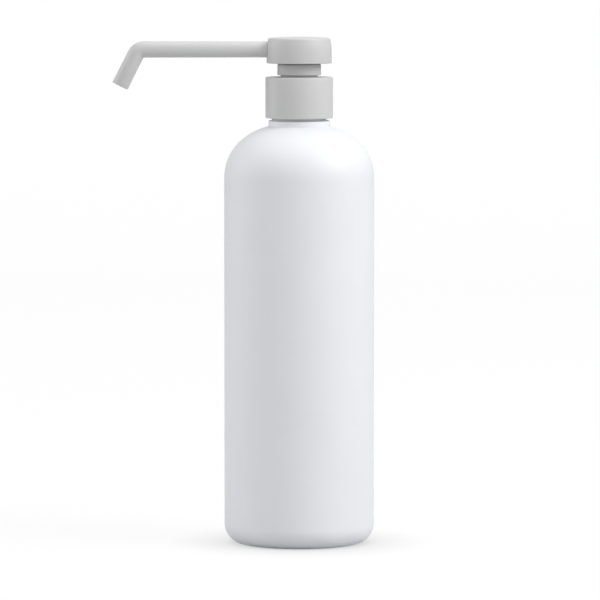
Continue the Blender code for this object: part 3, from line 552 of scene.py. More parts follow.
closure_profile = [
    (WAIST_RADIUS + SLIDE_GAP, closure_high.z, 0.25 * MM),
    (CLOSURE_RADIUS, closure_high.z, 0.55 * MM),
    (CLOSURE_RADIUS, closure_low.z, 0.5 * MM),
    (CLOSURE_BORE, closure_low.z, 0.3 * MM),
    (CLOSURE_BORE, closure_high.z - CLOSURE_TOP_WALL, 0.4 * MM),
    (WAIST_RADIUS + SLIDE_GAP, closure_high.z - CLOSURE_TOP_WALL, 0.15 * MM),
]
closure_ridge = {
    **neck_ridge, "Radius": CLOSURE_BORE, "Turns": 1.25, "Start Turn": 0.25,
    "Start Height": NECK_THREAD_BASE - CLOSURE_THREAD_DROP, "Outwards": -1.0, "Points": 121,
}
closure = turn("closure_cap", closure_profile, pump_plastic)
join_or_cut(closure, thread("closure_ridge", pump_plastic, closure_ridge), "UNION")
print("closure:", round(2 * CLOSURE_RADIUS / MM, 1), "mm across,", len(closure.data.polygons), "faces")

# %% [markdown]
# ## The chaplet
# The collar above the closure widens a little towards its foot. Below the closure it narrows to a
# waist and then to a sleeve that snaps into the pump's housing. Its bore takes the head's boss when
# the pump is locked down, and the small hole at the bottom guides the stem.

# %% Chaplet
LOCK_BORE = 7.3 * MM
SLEEVE_RADIUS = 8.2 * MM
KNOB_TOP = 9.975 * MM
KNOB_FOOT = chaplet_high.x
KNOB_HEIGHT = 5.0 * MM
GUIDE_HEIGHT = 1.5 * MM
WAIST_BOTTOM = closure_high.z - CLOSURE_TOP_WALL
SNAP_DROP = 4.25 * MM
SNAP_TOP = WAIST_BOTTOM - SNAP_DROP
SNAP_WIDTH = 1.2 * MM
SNAP_HEIGHT = 0.4 * MM

chaplet_profile = [
    (LOCK_BORE, chaplet_high.z, 0.3 * MM),
    (KNOB_TOP, chaplet_high.z, 0.35 * MM),
    (KNOB_FOOT, chaplet_high.z - KNOB_HEIGHT, 0.35 * MM),
    (WAIST_RADIUS, chaplet_high.z - KNOB_HEIGHT, 0.15 * MM),
    (WAIST_RADIUS, WAIST_BOTTOM, 0.1 * MM),
    (SLEEVE_RADIUS, WAIST_BOTTOM, 0.05 * MM),
    (SLEEVE_RADIUS, SNAP_TOP, 0.1 * MM),
    (SLEEVE_RADIUS + SNAP_HEIGHT, SNAP_TOP - SNAP_HEIGHT, 0.15 * MM),
    (SLEEVE_RADIUS + SNAP_HEIGHT, SNAP_TOP - SNAP_WIDTH + SNAP_HEIGHT, 0.15 * MM),
    (SLEEVE_RADIUS, SNAP_TOP - SNAP_WIDTH, 0.1 * MM),
    (SLEEVE_RADIUS, chaplet_low.z, 0.3 * MM),
    (stem_high.x + SLIDE_GAP, chaplet_low.z, 0.2 * MM),
    (stem_high.x + SLIDE_GAP, chaplet_low.z + GUIDE_HEIGHT, 0.2 * MM),
    (LOCK_BORE, chaplet_low.z + GUIDE_HEIGHT, 0.3 * MM),
]
chaplet = turn("chaplet_collar", chaplet_profile, pump_plastic)
print("chaplet knob:", round(2 * KNOB_TOP / MM, 2), "to", round(2 * KNOB_FOOT / MM, 2), "mm")

# %% [markdown]
# ## The head
# The drum is hollow under its top, as every moulded head is, with a boss in the middle that grips
# the stem. Its side stands straight at first and leans in towards the top on a large radius, and
# its top is slightly domed. A tube across the hollow takes the spout, and thin ribs stiffen the
# top. The ribs repeat about the axis, so a small tree places them.

# %% Drum, boss and ribs
HEAD_WALL = 1.3 * MM
HEAD_TOP_WALL = 1.4 * MM
HEAD_DOME = 0.55 * MM
HEAD_TAPER_START = 5.2 * MM
HEAD_TAPER_RADIUS = 24 * MM
HEAD_HEIGHT = 11.6 * MM
DRUM_STEPS = 8
BOSS_RADIUS = 6.3 * MM
STEM_GAP = 0.25 * MM
HEAD_RADIUS = head_high.x
HEAD_EDGE_TOP = head_high.z - HEAD_DOME
HEAD_CEILING = HEAD_EDGE_TOP - HEAD_TOP_WALL
HEAD_FOOT = HEAD_EDGE_TOP - HEAD_HEIGHT
SPOUT_HEIGHT = HEAD_FOOT + 6.3 * MM
STEM_SOCKET_TOP = stem_high.z + STEM_GAP
FLOW_RADIUS = 2.6 * MM


def drum_radius(rise):
    """The drum's outer radius at a height above its lower edge."""
    over = max(0.0, rise - HEAD_TAPER_START)
    return HEAD_RADIUS - over * over / (2 * HEAD_TAPER_RADIUS)


def head_profile():
    """Dome, side, foot, hollow and boss of the head."""
    top_radius = drum_radius(HEAD_HEIGHT)
    dome = []
    for step in range(DRUM_STEPS):
        radius = top_radius * step / DRUM_STEPS
        dome.append((radius, head_high.z - HEAD_DOME * (radius / top_radius) ** 2, 0.0))
    side = []
    for step in range(DRUM_STEPS + 1):
        rise = HEAD_HEIGHT + (HEAD_TAPER_START - HEAD_HEIGHT) * step / DRUM_STEPS
        side.append((drum_radius(rise), HEAD_FOOT + rise, 0.9 * MM if step == 0 else 0.0))
    hollow = [
        (HEAD_RADIUS, HEAD_FOOT, 0.4 * MM),
        (HEAD_RADIUS - HEAD_WALL, HEAD_FOOT, 0.25 * MM),
        (HEAD_RADIUS - HEAD_WALL, HEAD_FOOT + HEAD_TAPER_START, 0.0),
        (drum_radius(HEAD_HEIGHT) - HEAD_WALL, HEAD_CEILING, 0.5 * MM),
        (BOSS_RADIUS, HEAD_CEILING, 0.5 * MM),
        (BOSS_RADIUS, head_low.z, 0.25 * MM),
        (stem_high.x + STEM_GAP, head_low.z, 0.3 * MM),
        (stem_high.x + STEM_GAP, STEM_SOCKET_TOP, 0.1 * MM),
        (FLOW_RADIUS, STEM_SOCKET_TOP, 0.1 * MM),
        (FLOW_RADIUS, SPOUT_HEIGHT, 0.0),
        (0.0, SPOUT_HEIGHT, 0.0),
    ]
    return dome + side + hollow


def rib_tree():
    """Places thin upright blocks at the points that it is given, each turned to face the axis."""
    tree, source, end = new_tree("radial_ribs", {
        "Length": "Float", "Width": "Float", "Depth": "Float", "Material": "Material"})
    size = add(tree, "ShaderNodeCombineXYZ", {
        "X": source["Length"], "Y": source["Width"], "Z": source["Depth"]})
    block = add(tree, "GeometryNodeMeshCube", {"Size": size.outputs[0]})
    place = add(tree, "GeometryNodeInputPosition").outputs[0]
    level = add(tree, "ShaderNodeVectorMath", {0: place, 1: (1.0, 1.0, 0.0)}, operation="MULTIPLY")
    facing = add(tree, "FunctionNodeAlignRotationToVector", {"Vector": level.outputs[0]}, axis="X",
                 pivot_axis="Z")
    ribs = add(tree, "GeometryNodeInstanceOnPoints", {
        "Points": source["Geometry"], "Instance": block.outputs["Mesh"], "Rotation": facing.outputs[0]})
    return end(ribs.outputs[0], smooth=False)


radial_ribs = rib_tree()


def blocks(name, inner, outer, foot, top, width, angles, material):
    """Upright blocks between two radii and two heights, one at each angle in degrees."""
    middle = (inner + outer) / 2
    points = [
        (middle * math.cos(math.radians(a)), middle * math.sin(math.radians(a)), (foot + top) / 2)
        for a in angles
    ]
    return run_tree(piece_from(name, points, []), radial_ribs, {
        "Length": outer - inner, "Width": width, "Depth": top - foot, "Material": material})


RIB_ANGLES = (-110, -55, 0, 55, 110)
QUARTERS = (0, 90, 180, 270)
RIB_DEPTH = 5.5 * MM
RIB_WIDTH = 0.9 * MM
RIB_BITE = 0.4 * MM
WALL_BITE = 0.3 * MM
ribs = blocks(
    "rib_points", BOSS_RADIUS - RIB_BITE, HEAD_RADIUS - HEAD_WALL + WALL_BITE,
    HEAD_CEILING - RIB_DEPTH, HEAD_CEILING + RIB_BITE, RIB_WIDTH, RIB_ANGLES, pump_plastic)
head = turn("head_drum", head_profile(), pump_plastic, sides=160, ring=False)
join_or_cut(head, ribs, "UNION")
print("head:", round(2 * HEAD_RADIUS / MM, 1), "mm across with", len(RIB_ANGLES), "ribs")

# %% [markdown]
# ## Socket and lock thread
# The spout is pressed into a tube that crosses the hollow of the drum. The tube is joined to the
# drum first, then the seat and the flow channel are bored through it. The lock thread is the same
# ridge as on the neck, only finer.

# %% Socket and lock thread
SPOUT_ROOT_RADIUS = 3.65 * MM
SOCKET_WALL = 0.8 * MM
SOCKET_BITE = 1.2 * MM
SOCKET_STOP = spout_high.x + STEM_GAP
CHANNEL_RADIUS = 2.3 * MM


def crossbar(name, radius, from_x, to_x, material):
    """A cylinder along the X axis at the spout's height."""
    length = abs(to_x - from_x)
    bpy.ops.mesh.primitive_cylinder_add(
        vertices=64, radius=radius, depth=length, location=((from_x + to_x) / 2, 0.0, SPOUT_HEIGHT),
        rotation=(0.0, math.pi / 2, 0.0))
    bar = bpy.context.object
    bar.name = name
    bar.data.materials.append(material)
    return bar


socket_bore = SPOUT_ROOT_RADIUS + STEM_GAP
for name, radius, from_x, to_x, operation in (
        ("socket", socket_bore + SOCKET_WALL, SOCKET_BITE - BOSS_RADIUS,
         HEAD_WALL - WALL_BITE - HEAD_RADIUS, "UNION"),
        ("seat", socket_bore, SOCKET_STOP, -2 * HEAD_RADIUS, "DIFFERENCE"),
        ("channel", CHANNEL_RADIUS, 0.0, 2 * SOCKET_STOP, "DIFFERENCE")):
    join_or_cut(head, crossbar(name, radius, from_x, to_x, pump_plastic), operation)
lock_ridge = {
    "Radius": BOSS_RADIUS, "Pitch": 3.2 * MM, "Turns": 1.5, "Start Turn": 0.0,
    "Start Height": head_low.z + 2.0 * MM, "Ridge Height": 0.62 * MM, "Root": 1.3 * MM,
    "Crest": 0.6 * MM, "Outwards": 1.0, "Bite": THREAD_BITE, "Points": 97,
}
join_or_cut(head, thread("lock_ridge", pump_plastic, lock_ridge), "UNION")
print("head with socket:", len(head.data.polygons), "faces")

# %% [markdown]
# ## The spout
# The spout is one tube along a path of three points: the drum, the corner and the tip. The corner
# is rounded to a radius of 4.4 mm at its centreline, and the tube grows from 7.3 to 7.8 mm on its
# way. A tree rounds the path, makes it as thick as it should be at each place and sweeps it. Its
# wall comes from Solidify, and a small Bevel softens the rim of the open ends.

# %% Spout
SPOUT_CORNER = -73.8 * MM
SPOUT_LEG = 18.7 * MM
SPOUT_LEG_ANGLE = math.radians(63.2)
SPOUT_TURN = 4.4 * MM
SPOUT_BEND_RADIUS = 3.78 * MM
SPOUT_TIP_RADIUS = 3.9 * MM
SPOUT_WALL = 1.4 * MM
SPOUT_RIM_EDGE = 0.25 * MM


def tube_tree():
    """Rounds the corner of a path and sweeps a circle that changes its radius on the way."""
    tree, source, end = new_tree("bent_tube", {
        "Root Radius": "Float", "Bend Radius": "Float", "Tip Radius": "Float", "Bend Share": "Float",
        "Turn": "Float", "Turn Steps": "Int", "Sides": "Int", "Material": "Material"})
    path = add(tree, "GeometryNodeMeshToCurve", {"Mesh": source["Geometry"]})
    round_path = add(tree, "GeometryNodeFilletCurve", {
        "Curve": path.outputs[0], "Radius": source["Turn"]}, mode="POLY")
    tree.links.new(source["Turn Steps"], round_path.inputs["Count"])
    share = add(tree, "GeometryNodeSplineParameter").outputs["Factor"]
    arm = add(tree, "ShaderNodeMapRange", {
        "Value": share, "From Min": 0.0, "From Max": source["Bend Share"],
        "To Min": source["Root Radius"], "To Max": source["Bend Radius"]})
    leg = add(tree, "ShaderNodeMapRange", {
        "Value": share, "From Min": source["Bend Share"], "From Max": 1.0,
        "To Min": arm.outputs["Result"], "To Max": source["Tip Radius"]})
    circle = add(tree, "GeometryNodeCurvePrimitiveCircle", {
        "Resolution": source["Sides"], "Radius": 1.0}, mode="RADIUS")
    swept = add(tree, "GeometryNodeCurveToMesh", {
        "Curve": round_path.outputs[0], "Profile Curve": circle.outputs["Curve"],
        "Scale": leg.outputs["Result"]})
    return end(swept.outputs[0])


corner_point = Vector((SPOUT_CORNER, 0.0, SPOUT_HEIGHT))
leg_way = Vector((-math.cos(SPOUT_LEG_ANGLE), 0.0, -math.sin(SPOUT_LEG_ANGLE)))
tip_point = corner_point + SPOUT_LEG * leg_way
root_point = Vector((spout_high.x, 0.0, SPOUT_HEIGHT))
arm_length = (root_point - corner_point).length
spout = piece_from("spout_tube", [root_point, corner_point, tip_point], [(0, 1), (1, 2)])
run_tree(spout, tube_tree(), {
    "Root Radius": SPOUT_ROOT_RADIUS, "Bend Radius": SPOUT_BEND_RADIUS, "Tip Radius": SPOUT_TIP_RADIUS,
    "Bend Share": arm_length / (arm_length + SPOUT_LEG), "Turn": SPOUT_TURN, "Turn Steps": 20,
    "Sides": 64, "Material": pump_plastic,
})
wall = spout.modifiers.new("wall", "SOLIDIFY")
wall.thickness = SPOUT_WALL
wall.offset = -1.0
wall.use_quality_normals = True
rim = spout.modifiers.new("rim", "BEVEL")
rim.width = SPOUT_RIM_EDGE
rim.segments = 3
rim.limit_method = "ANGLE"
rim.angle_limit = math.radians(60)
bake(spout)
print("spout tip at", [round(value / MM, 1) for value in tip_point], "mm")

# %% [markdown]
# ## Stem and spring
# The stem shows when the head is up, so it gets a finer mesh than its solid. The spring is a coil
# with one closed turn at each end. A tree lays its points on the same helix as a thread's, but the
# height rises slowly in the end turns and fast between them.

# %% Stem and spring
SPRING_WIRE = 0.9 * MM
SPRING_TURNS = 7
SPRING_END_RISE = 1.15 * MM
WIRE_SIDES = 12
POINTS_PER_TURN = 36


def coil_tree():
    """A coil of wire with one closed turn at each end."""
    tree, source, end = new_tree("coil_spring", {
        "Radius": "Float", "Wire": "Float", "Turns": "Float", "Low": "Float", "High": "Float",
        "End Rise": "Float", "Points": "Int", "Material": "Material"})
    line, share = fine_line(tree, source["Points"])
    turned = maths(tree, "MULTIPLY", share, source["Turns"])
    last_open = maths(tree, "SUBTRACT", source["Turns"], 1.0)
    stretches = [
        (0.0, 1.0, maths(tree, "ADD", source["Low"], source["End Rise"])),
        (1.0, last_open, maths(tree, "SUBTRACT", source["High"], source["End Rise"])),
        (last_open, source["Turns"], source["High"]),
    ]
    height = source["Low"]
    for start, stop, top in stretches:
        height = add(tree, "ShaderNodeMapRange", {
            "Value": turned, "From Min": start, "From Max": stop, "To Min": height,
            "To Max": top}).outputs["Result"]
    helix = on_helix(tree, line, turned, source["Radius"], height)
    section = add(tree, "GeometryNodeCurvePrimitiveCircle", {
        "Resolution": WIRE_SIDES, "Radius": source["Wire"]}, mode="RADIUS")
    wire = add(tree, "GeometryNodeCurveToMesh", {
        "Curve": helix, "Profile Curve": section.outputs["Curve"], "Fill Caps": True})
    return end(wire.outputs[0])


spring = run_tree(piece_from("return_spring", [(0.0, 0.0, 0.0)], []), coil_tree(), {
    "Radius": spring_high.x - SPRING_WIRE / 2, "Wire": SPRING_WIRE / 2, "Turns": float(SPRING_TURNS),
    "Low": spring_low.z + SPRING_WIRE / 2, "High": spring_high.z - SPRING_WIRE / 2,
    "End Rise": SPRING_END_RISE, "Points": SPRING_TURNS * POINTS_PER_TURN + 1, "Material": steel,
})
stem_profile = [
    (FLOW_RADIUS, stem_high.z, 0.2 * MM),
    (stem_high.x, stem_high.z, 0.3 * MM),
    (stem_high.x, stem_low.z, 0.2 * MM),
    (FLOW_RADIUS, stem_low.z, 0.2 * MM),
]
stem = turn("stem_tube", stem_profile, clear_plastic, sides=64)
print("spring:", SPRING_TURNS, "turns over", round((spring_high.z - spring_low.z) / MM, 1), "mm")

# %% [markdown]
# ## The housing
# The pump's housing is one moulding: the flange that lies on the gasket, a cup that holds the
# chaplet, the barrel, the valve chamber and the tail for the dip tube. Four short ribs in the
# chamber keep the ball from rising further, and a small hole lets air back into the bottle.

# %% Housing
GAP = 0.25 * MM
CUP_BORE = 8.45 * MM
CUP_RADIUS = 9.65 * MM
BARREL_BORE = 6.5 * MM
BARREL_RADIUS = 7.7 * MM
CHAMBER_BORE = 3.3 * MM
CHAMBER_RADIUS = 5.6 * MM
INLET_BORE = 1.6 * MM
TUBE_RADIUS = 3.5 * MM
TAIL_RADIUS = 5.05 * MM
FLANGE = 1.0 * MM
CUP_DEPTH = 10.6 * MM
CUP_TAPER = 1.2 * MM
BARREL_LENGTH = 39.8 * MM
BARREL_TAPER = 3.0 * MM
INLET_WALL = 1.5 * MM
BALL_RIB_INNER = 2.2 * MM
BALL_RIB_OUTER = 3.7 * MM
BALL_RIB_WIDTH = 1.0 * MM
BALL_RIB_TOP_DROP = 0.4 * MM
BALL_RIB_FOOT_DROP = 2.0 * MM
VENT_RADIUS = 0.8 * MM
VENT_DROP = 3.0 * MM
housing_low, housing_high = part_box("housing")
tube_low, tube_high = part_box("dip_tube")
mouth = housing_high.z
flange = mouth - FLANGE
cup_floor = mouth - CUP_DEPTH
ledge = cup_floor - BARREL_LENGTH
inlet = tube_high.z + GAP
chamber = inlet + INLET_WALL
fine = 0.15 * MM

housing_profile = [
    (housing_high.x, mouth, fine),
    (housing_high.x, flange, fine),
    (CUP_RADIUS, flange, fine),
    (CUP_RADIUS, cup_floor, 0.8 * MM),
    (BARREL_RADIUS, cup_floor - CUP_TAPER, 0.8 * MM),
    (BARREL_RADIUS, ledge, 0.6 * MM),
    (CHAMBER_RADIUS, ledge - BARREL_TAPER, 0.6 * MM),
    (CHAMBER_RADIUS, chamber, 0.2 * MM),
    (TAIL_RADIUS, inlet, 0.2 * MM),
    (TAIL_RADIUS, housing_low.z, 0.3 * MM),
    (TUBE_RADIUS + GAP, housing_low.z, 0.3 * MM),
    (TUBE_RADIUS + GAP, inlet, 0.1 * MM),
    (INLET_BORE, inlet, fine),
    (INLET_BORE, chamber, 0.05 * MM),
    (CHAMBER_BORE, chamber + CHAMBER_BORE - INLET_BORE, fine),
    (CHAMBER_BORE, ledge, fine),
    (BARREL_BORE, ledge, 0.1 * MM),
    (BARREL_BORE, cup_floor, 0.3 * MM),
    (CUP_BORE, cup_floor + CUP_BORE - BARREL_RADIUS, 0.3 * MM),
    (CUP_BORE, SNAP_TOP - SNAP_WIDTH - GAP, 0.1 * MM),
    (CUP_BORE + SNAP_HEIGHT, SNAP_TOP - SNAP_WIDTH - GAP + SNAP_HEIGHT, 0.1 * MM),
    (CUP_BORE + SNAP_HEIGHT, SNAP_TOP + GAP - SNAP_HEIGHT, 0.1 * MM),
    (CUP_BORE, SNAP_TOP + GAP, 0.1 * MM),
    (CUP_BORE, mouth, 0.3 * MM),
]
ball_ribs = blocks(
    "ball_rib_points", BALL_RIB_INNER, BALL_RIB_OUTER, ledge - BALL_RIB_FOOT_DROP,
    ledge - BALL_RIB_TOP_DROP, BALL_RIB_WIDTH, QUARTERS, clear_plastic)
housing = turn("pump_housing", housing_profile, clear_plastic, sides=96)
join_or_cut(housing, ball_ribs, "UNION")
bpy.ops.mesh.primitive_cylinder_add(
    vertices=24, radius=VENT_RADIUS, depth=2 * BARREL_RADIUS, rotation=(math.pi / 2, 0.0, 0.0),
    location=(0.0, BARREL_RADIUS, cup_floor - VENT_DROP))
vent = bpy.context.object
vent.data.materials.append(clear_plastic)
join_or_cut(housing, vent, "DIFFERENCE")
print("housing:", len(housing.data.polygons), "faces")

# %% [markdown]
# ## Tube, gasket and ball
# The dip tube is cut at a slant, so that its mouth stays open when it touches the floor.

# %% Dip tube, gasket and ball
TUBE_WALL = 1.0 * MM
TUBE_CUT = math.radians(30)
GASKET_OVERHANG = 0.45 * MM
GASKET_EDGE = 0.05 * MM
tube_profile = [
    (TUBE_RADIUS - TUBE_WALL, tube_high.z, fine),
    (TUBE_RADIUS, tube_high.z, fine),
    (TUBE_RADIUS, tube_low.z, 0.0),
    (TUBE_RADIUS - TUBE_WALL, tube_low.z, 0.0),
]
dip_tube = turn("dip_tube_extrusion", tube_profile, clear_plastic, sides=64)
reach = 4 * TUBE_RADIUS
bpy.ops.mesh.primitive_cube_add(size=2 * reach)
knife = bpy.context.object
knife.data.transform(Matrix.Translation((0.0, 0.0, -reach)))
knife.data.transform(Matrix.Rotation(-TUBE_CUT, 4, "Y"))
knife.location = (-TUBE_RADIUS, 0.0, tube_low.z)
knife.data.materials.append(clear_plastic)
join_or_cut(dip_tube, knife, "DIFFERENCE")

gasket_low, gasket_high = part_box("gasket")
gasket_bore = NECK_RADIUS - NECK_WALL - GASKET_OVERHANG
gasket_profile = [
    (gasket_bore, gasket_high.z, GASKET_EDGE),
    (gasket_high.x, gasket_high.z, GASKET_EDGE),
    (gasket_high.x, gasket_low.z, GASKET_EDGE),
    (gasket_bore, gasket_low.z, GASKET_EDGE),
]
gasket = turn("foam_gasket", gasket_profile, gasket_foam, sides=96)

ball_low, ball_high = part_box("inlet_ball")
bpy.ops.mesh.primitive_uv_sphere_add(segments=48, ring_count=32, radius=ball_high.x)
ball = bpy.context.object
ball.name = "check_ball"
ball.data.transform(Matrix.Translation((0.0, 0.0, (ball_low.z + ball_high.z) / 2)))
ball.location = (0.0, 0.0, 0.0)
ball.data.materials.append(steel)
print("dip tube cut at", round(math.degrees(TUBE_CUT)), "degrees")
print("ball", round(2 * ball_high.x / MM, 1), "mm")

# %% [markdown]
# ## Piston and valve rod
# The piston is a short sleeve with a skirt whose two thin lips touch the barrel. The valve rod
# stands in it: a fluted shank that lets the liquid up into the stem, a disc that closes the
# passage from below, and a stub that centres the spring.

# %% Piston and valve rod
PISTON_BORE = 3.0 * MM
PISTON_SLEEVE = 4.2 * MM
LIP_HEIGHT = 1.6 * MM
LIP_STEP = 0.4 * MM
SKIRT_WALL = 1.0 * MM
DISC_RADIUS = 5.4 * MM
ROD_RADIUS = 2.35 * MM
ROD_STUB = 5.2 * MM
FLUTE_DEPTH = 0.9 * MM
FLUTE_WIDTH = 1.4 * MM
FLUTE_RISE = 0.4 * MM
DISC_THICKNESS = 1.2 * MM
piston_low, piston_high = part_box("piston")
rod_low, rod_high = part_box("valve_rod")
lip = piston_high.x
waist = lip - LIP_STEP
web = (piston_low.z + piston_high.z) / 2

half_piston = [
    (PISTON_BORE, piston_high.z, fine),
    (PISTON_SLEEVE, piston_high.z, fine),
    (PISTON_SLEEVE, web + SKIRT_WALL / 2, 0.4 * MM),
    (waist - SKIRT_WALL, web + SKIRT_WALL / 2, 0.4 * MM),
    (lip - SKIRT_WALL / 2, piston_high.z, 0.1 * MM),
    (lip, piston_high.z, 0.1 * MM),
    (waist, piston_high.z - LIP_HEIGHT, 0.4 * MM),
]
mirrored = [(radius, 2 * web - height, edge) for radius, height, edge in reversed(half_piston)]
piston = turn("piston_seal", half_piston + mirrored, clear_plastic, sides=96)

disc_foot = rod_low.z + ROD_STUB
disc_top = disc_foot + DISC_THICKNESS
rod_profile = [
    (0.0, rod_high.z, 0.0),
    (ROD_RADIUS, rod_high.z, 0.5 * MM),
    (ROD_RADIUS, disc_top, 0.2 * MM),
    (DISC_RADIUS, disc_top, 0.2 * MM),
    (DISC_RADIUS, disc_foot, 0.2 * MM),
    (ROD_RADIUS, disc_foot, 0.2 * MM),
    (ROD_RADIUS, rod_low.z, 0.5 * MM),
    (0.0, rod_low.z, 0.0),
]
valve_rod = turn("valve_rod_shank", rod_profile, clear_plastic, sides=64, ring=False)
flutes = blocks(
    "flute_points", ROD_RADIUS - FLUTE_DEPTH, 2 * ROD_RADIUS, disc_top + FLUTE_RISE,
    rod_high.z + MM, FLUTE_WIDTH, QUARTERS, clear_plastic)
join_or_cut(valve_rod, flutes, "DIFFERENCE")
print("piston", round(2 * lip / MM, 2), "mm over its lips")
print("rod", round((rod_high.z - rod_low.z) / MM, 1), "mm long")

# %% [markdown]
# ## Sharp corners stay sharp
# Every piece is shaded smooth, with its real corners kept. The rounded edges are narrow strips of
# faces, so light still runs over them softly.

# %% Shading
SHARP_ANGLE = math.radians(35)
new_pieces = {
    "bottle": (bottle, "bottle", "bottle_polyethylene"),
    "closure": (closure, "closure", "pump_polypropylene"),
    "chaplet": (chaplet, "pump", "pump_polypropylene"),
    "head": (head, "actuator", "pump_polypropylene"),
    "spout": (spout, "actuator", "pump_polypropylene"),
    "stem": (stem, "actuator", "inner_polypropylene"),
    "spring": (spring, "pump", "spring_steel"),
    "housing": (housing, "pump", "inner_polypropylene"),
    "dip_tube": (dip_tube, "pump", "inner_polypropylene"),
    "gasket": (gasket, "pump", "gasket_foam"),
    "inlet_ball": (ball, "inlet_ball", "spring_steel"),
    "piston": (piston, "piston", "inner_polypropylene"),
    "valve_rod": (valve_rod, "valve_rod", "inner_polypropylene"),
}
for piece, _, _ in new_pieces.values():
    piece.data.shade_smooth()
    piece.data.set_sharp_from_angle(angle=SHARP_ANGLE)
print("smooth pieces:", len(new_pieces))

# %% [markdown]
# ## Hang the pieces on the frame
# Each new piece replaces its solid and rides on the same body, so it moves as the solid does.

# %% Ride and replace
for node, (piece, body, slot) in new_pieces.items():
    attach(piece, body)
    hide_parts(node)

print("pieces on the frame:", ", ".join(sorted(new_pieces)))

# %% [markdown]
# ## Floor, light and camera
# The photograph is a studio shot on white. The floor and the backdrop are one sheet, swept up
# behind the bottle. A real studio lights such a sheet by itself until it turns white, so here the
# paper glows to the camera. Where the bottle comes close to it, the glow fades, which leaves the
# photograph's soft contact shadow.

# %% Studio sheet
SHEET_WIDTH = 8.0
SHEET_FRONT = -1.6
SHEET_BACK = 1.6
SHEET_TURN = 0.8
SHEET_HEIGHT = 3.0
SHEET_TURN_STEPS = 24
PAPER_BOUNCE = 0.50
PAPER_SHADE = 0.11
PAPER_LIFT = 0.880
PAPER_LIFT_BACK = 0.915
MIRROR_LIFT = 0.48
MIRROR_FULL = 0.25
MIRROR_END = 0.9
CONTACT_REACH = 28 * MM
CONTACT_SHADE = 0.34


def studio_sheet():
    """A floor that curves up into a backdrop."""
    line = [(SHEET_FRONT, 0.0), (SHEET_BACK, 0.0)]
    for step in range(1, SHEET_TURN_STEPS + 1):
        angle = math.radians(90 * step / SHEET_TURN_STEPS)
        line.append((SHEET_BACK + SHEET_TURN * math.sin(angle), SHEET_TURN * (1 - math.cos(angle))))
    line.append((SHEET_BACK + SHEET_TURN, SHEET_HEIGHT))
    half = SHEET_WIDTH / 2
    corners = [(side * half, y, z) for y, z in line for side in (-1, 1)]
    faces = [(2 * i, 2 * i + 1, 2 * i + 3, 2 * i + 2) for i in range(len(line) - 1)]
    mesh = bpy.data.meshes.new("studio_sheet")
    mesh.from_pydata(corners, [], faces)
    mesh.shade_smooth()
    sheet = bpy.data.objects.new("studio_sheet", mesh)
    bpy.context.scene.collection.objects.link(sheet)
    return sheet


def sheet_paper():
    """White paper with a glow that the camera sees everywhere and reflections see in the middle."""
    material, tree, shader = new_material("studio_paper", "FFFFFF", 0.9, 1.4)
    shader.inputs["Specular IOR Level"].default_value = 0.0
    ray = add(tree, "ShaderNodeLightPath").outputs
    white = add(tree, "ShaderNodeMapRange", {
        "Value": ray["Is Camera Ray"], "To Min": PAPER_BOUNCE, "To Max": PAPER_SHADE})
    tree.links.new(white.outputs["Result"], shader.inputs["Base Color"])
    place = add(tree, "ShaderNodeSeparateXYZ", {
        "Vector": add(tree, "ShaderNodeTexCoord").outputs["Object"]}).outputs
    lift = add(tree, "ShaderNodeMapRange", {
        "Value": place["Y"], "From Min": 0.0, "From Max": SHEET_BACK + SHEET_TURN,
        "To Min": PAPER_LIFT, "To Max": PAPER_LIFT_BACK})
    near = add(tree, "ShaderNodeAmbientOcclusion", {"Distance": CONTACT_REACH}, samples=8)
    shaded = add(tree, "ShaderNodeMapRange", {
        "Value": near.outputs["AO"], "To Min": 1.0 - CONTACT_SHADE, "To Max": 1.0})
    lit = maths(tree, "MULTIPLY", shaded.outputs["Result"], lift.outputs["Result"])
    seen = maths(tree, "MULTIPLY", ray["Is Camera Ray"], lit)
    middle = add(tree, "ShaderNodeMapRange", {
        "Value": maths(tree, "ABSOLUTE", place["X"]), "From Min": MIRROR_FULL, "From Max": MIRROR_END,
        "To Min": MIRROR_LIFT, "To Max": 0.0}, interpolation_type="SMOOTHSTEP")
    glow = maths(tree, "MULTIPLY_ADD", ray["Is Glossy Ray"], middle.outputs["Result"], seen)
    shader.inputs["Emission Color"].default_value = linear("FFFFFF")
    tree.links.new(glow, shader.inputs["Emission Strength"])
    return material


sheet = studio_sheet()
sheet.data.materials.append(sheet_paper())
print("studio sheet", SHEET_WIDTH, "m wide")

# %% [markdown]
# ## Lamps
# The photograph's light is soft and comes from the upper right, with white all round it. The left
# side of the bottle stays a shade darker, and the right edge has a thin darker rim where the
# surface turns away. A large lamp on the right, a weak one on the left, a faint one above and an
# even white world give that.

# %% Lamps and world


def soft_lamp(name, place, target, size, watts):
    """A large square lamp that points at a target."""
    light = bpy.data.lights.new(name, "AREA")
    light.shape = "RECTANGLE"
    light.size, light.size_y = size
    light.energy = watts
    lamp = bpy.data.objects.new(name, light)
    lamp.location = place
    lamp.rotation_euler = (Vector(target) - Vector(place)).to_track_quat("-Z", "Y").to_euler()
    bpy.context.scene.collection.objects.link(lamp)
    return lamp


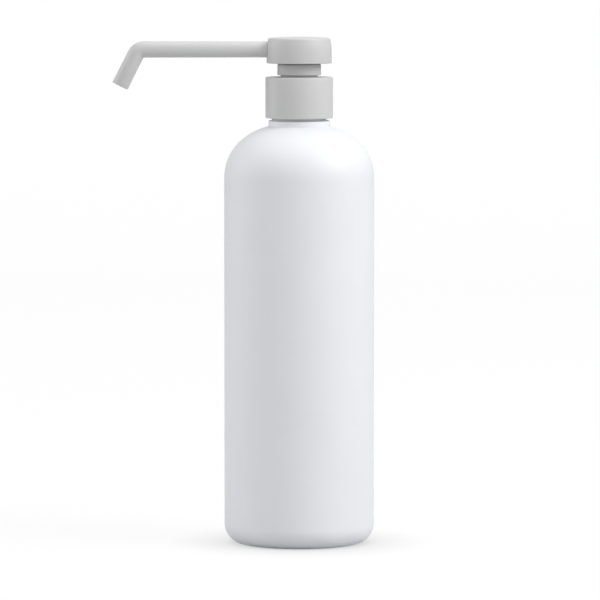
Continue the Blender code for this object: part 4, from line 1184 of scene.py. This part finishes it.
SKY_STRENGTH = 0.68
MIDDLE = (0.0, 0.0, head_high.z / 2)
soft_lamp("key_right", (1.5, -0.65, 1.35), MIDDLE, (1.0, 1.0), 19.2)
soft_lamp("fill_left", (-1.8, 0.3, 0.5), MIDDLE, (1.0, 1.6), 8.4)
soft_lamp("top", (0.2, 0.1, 1.9), MIDDLE, (1.6, 1.6), 6.5)

world = bpy.data.worlds.new("studio_white")
world.use_nodes = True
sky = world.node_tree.nodes["Background"]
sky.inputs["Color"].default_value = linear("FFFFFF")
sky.inputs["Strength"].default_value = SKY_STRENGTH
bpy.context.scene.world = world
bpy.context.scene.view_settings.view_transform = "Standard"

# %% [markdown]
# ## Camera
# The photograph was taken with a long lens: the bottle's sides don't converge. The curve of the
# base and the flat top of the closure tell how high the lens was, about 7 degrees above the base
# and 2 degrees above the closure. The focal length then follows from the bottle's width in pixels.

# %% Camera
IMAGE_SIDE = 600
PIXEL_SIZE = 0.4605 * MM
AXIS_PIXEL_X = 299.2
BASE_PIXEL_Y = 542.7
CAMERA_DISTANCE = 2.305
CAMERA_TILT = math.radians(4.5)
SENSOR = 36.0

centre_height = (BASE_PIXEL_Y - IMAGE_SIDE / 2) * PIXEL_SIZE / math.cos(CAMERA_TILT)
centre_side = (IMAGE_SIDE / 2 - AXIS_PIXEL_X) * PIXEL_SIZE
aim = Vector((centre_side, 0.0, centre_height))
camera_data = bpy.data.cameras.new("camera")
camera_data.sensor_width = SENSOR
camera_data.lens = SENSOR * CAMERA_DISTANCE / (PIXEL_SIZE * IMAGE_SIDE)
camera = bpy.data.objects.new("camera", camera_data)
camera.location = aim + CAMERA_DISTANCE * Vector((0.0, -math.cos(CAMERA_TILT), math.sin(CAMERA_TILT)))
camera.rotation_euler = (aim - camera.location).to_track_quat("-Z", "Y").to_euler()
camera_data.clip_end = 50.0
bpy.context.scene.collection.objects.link(camera)
bpy.context.scene.camera = camera
print("lens", round(camera_data.lens), "mm, camera height", round(camera.location.z, 3), "m")
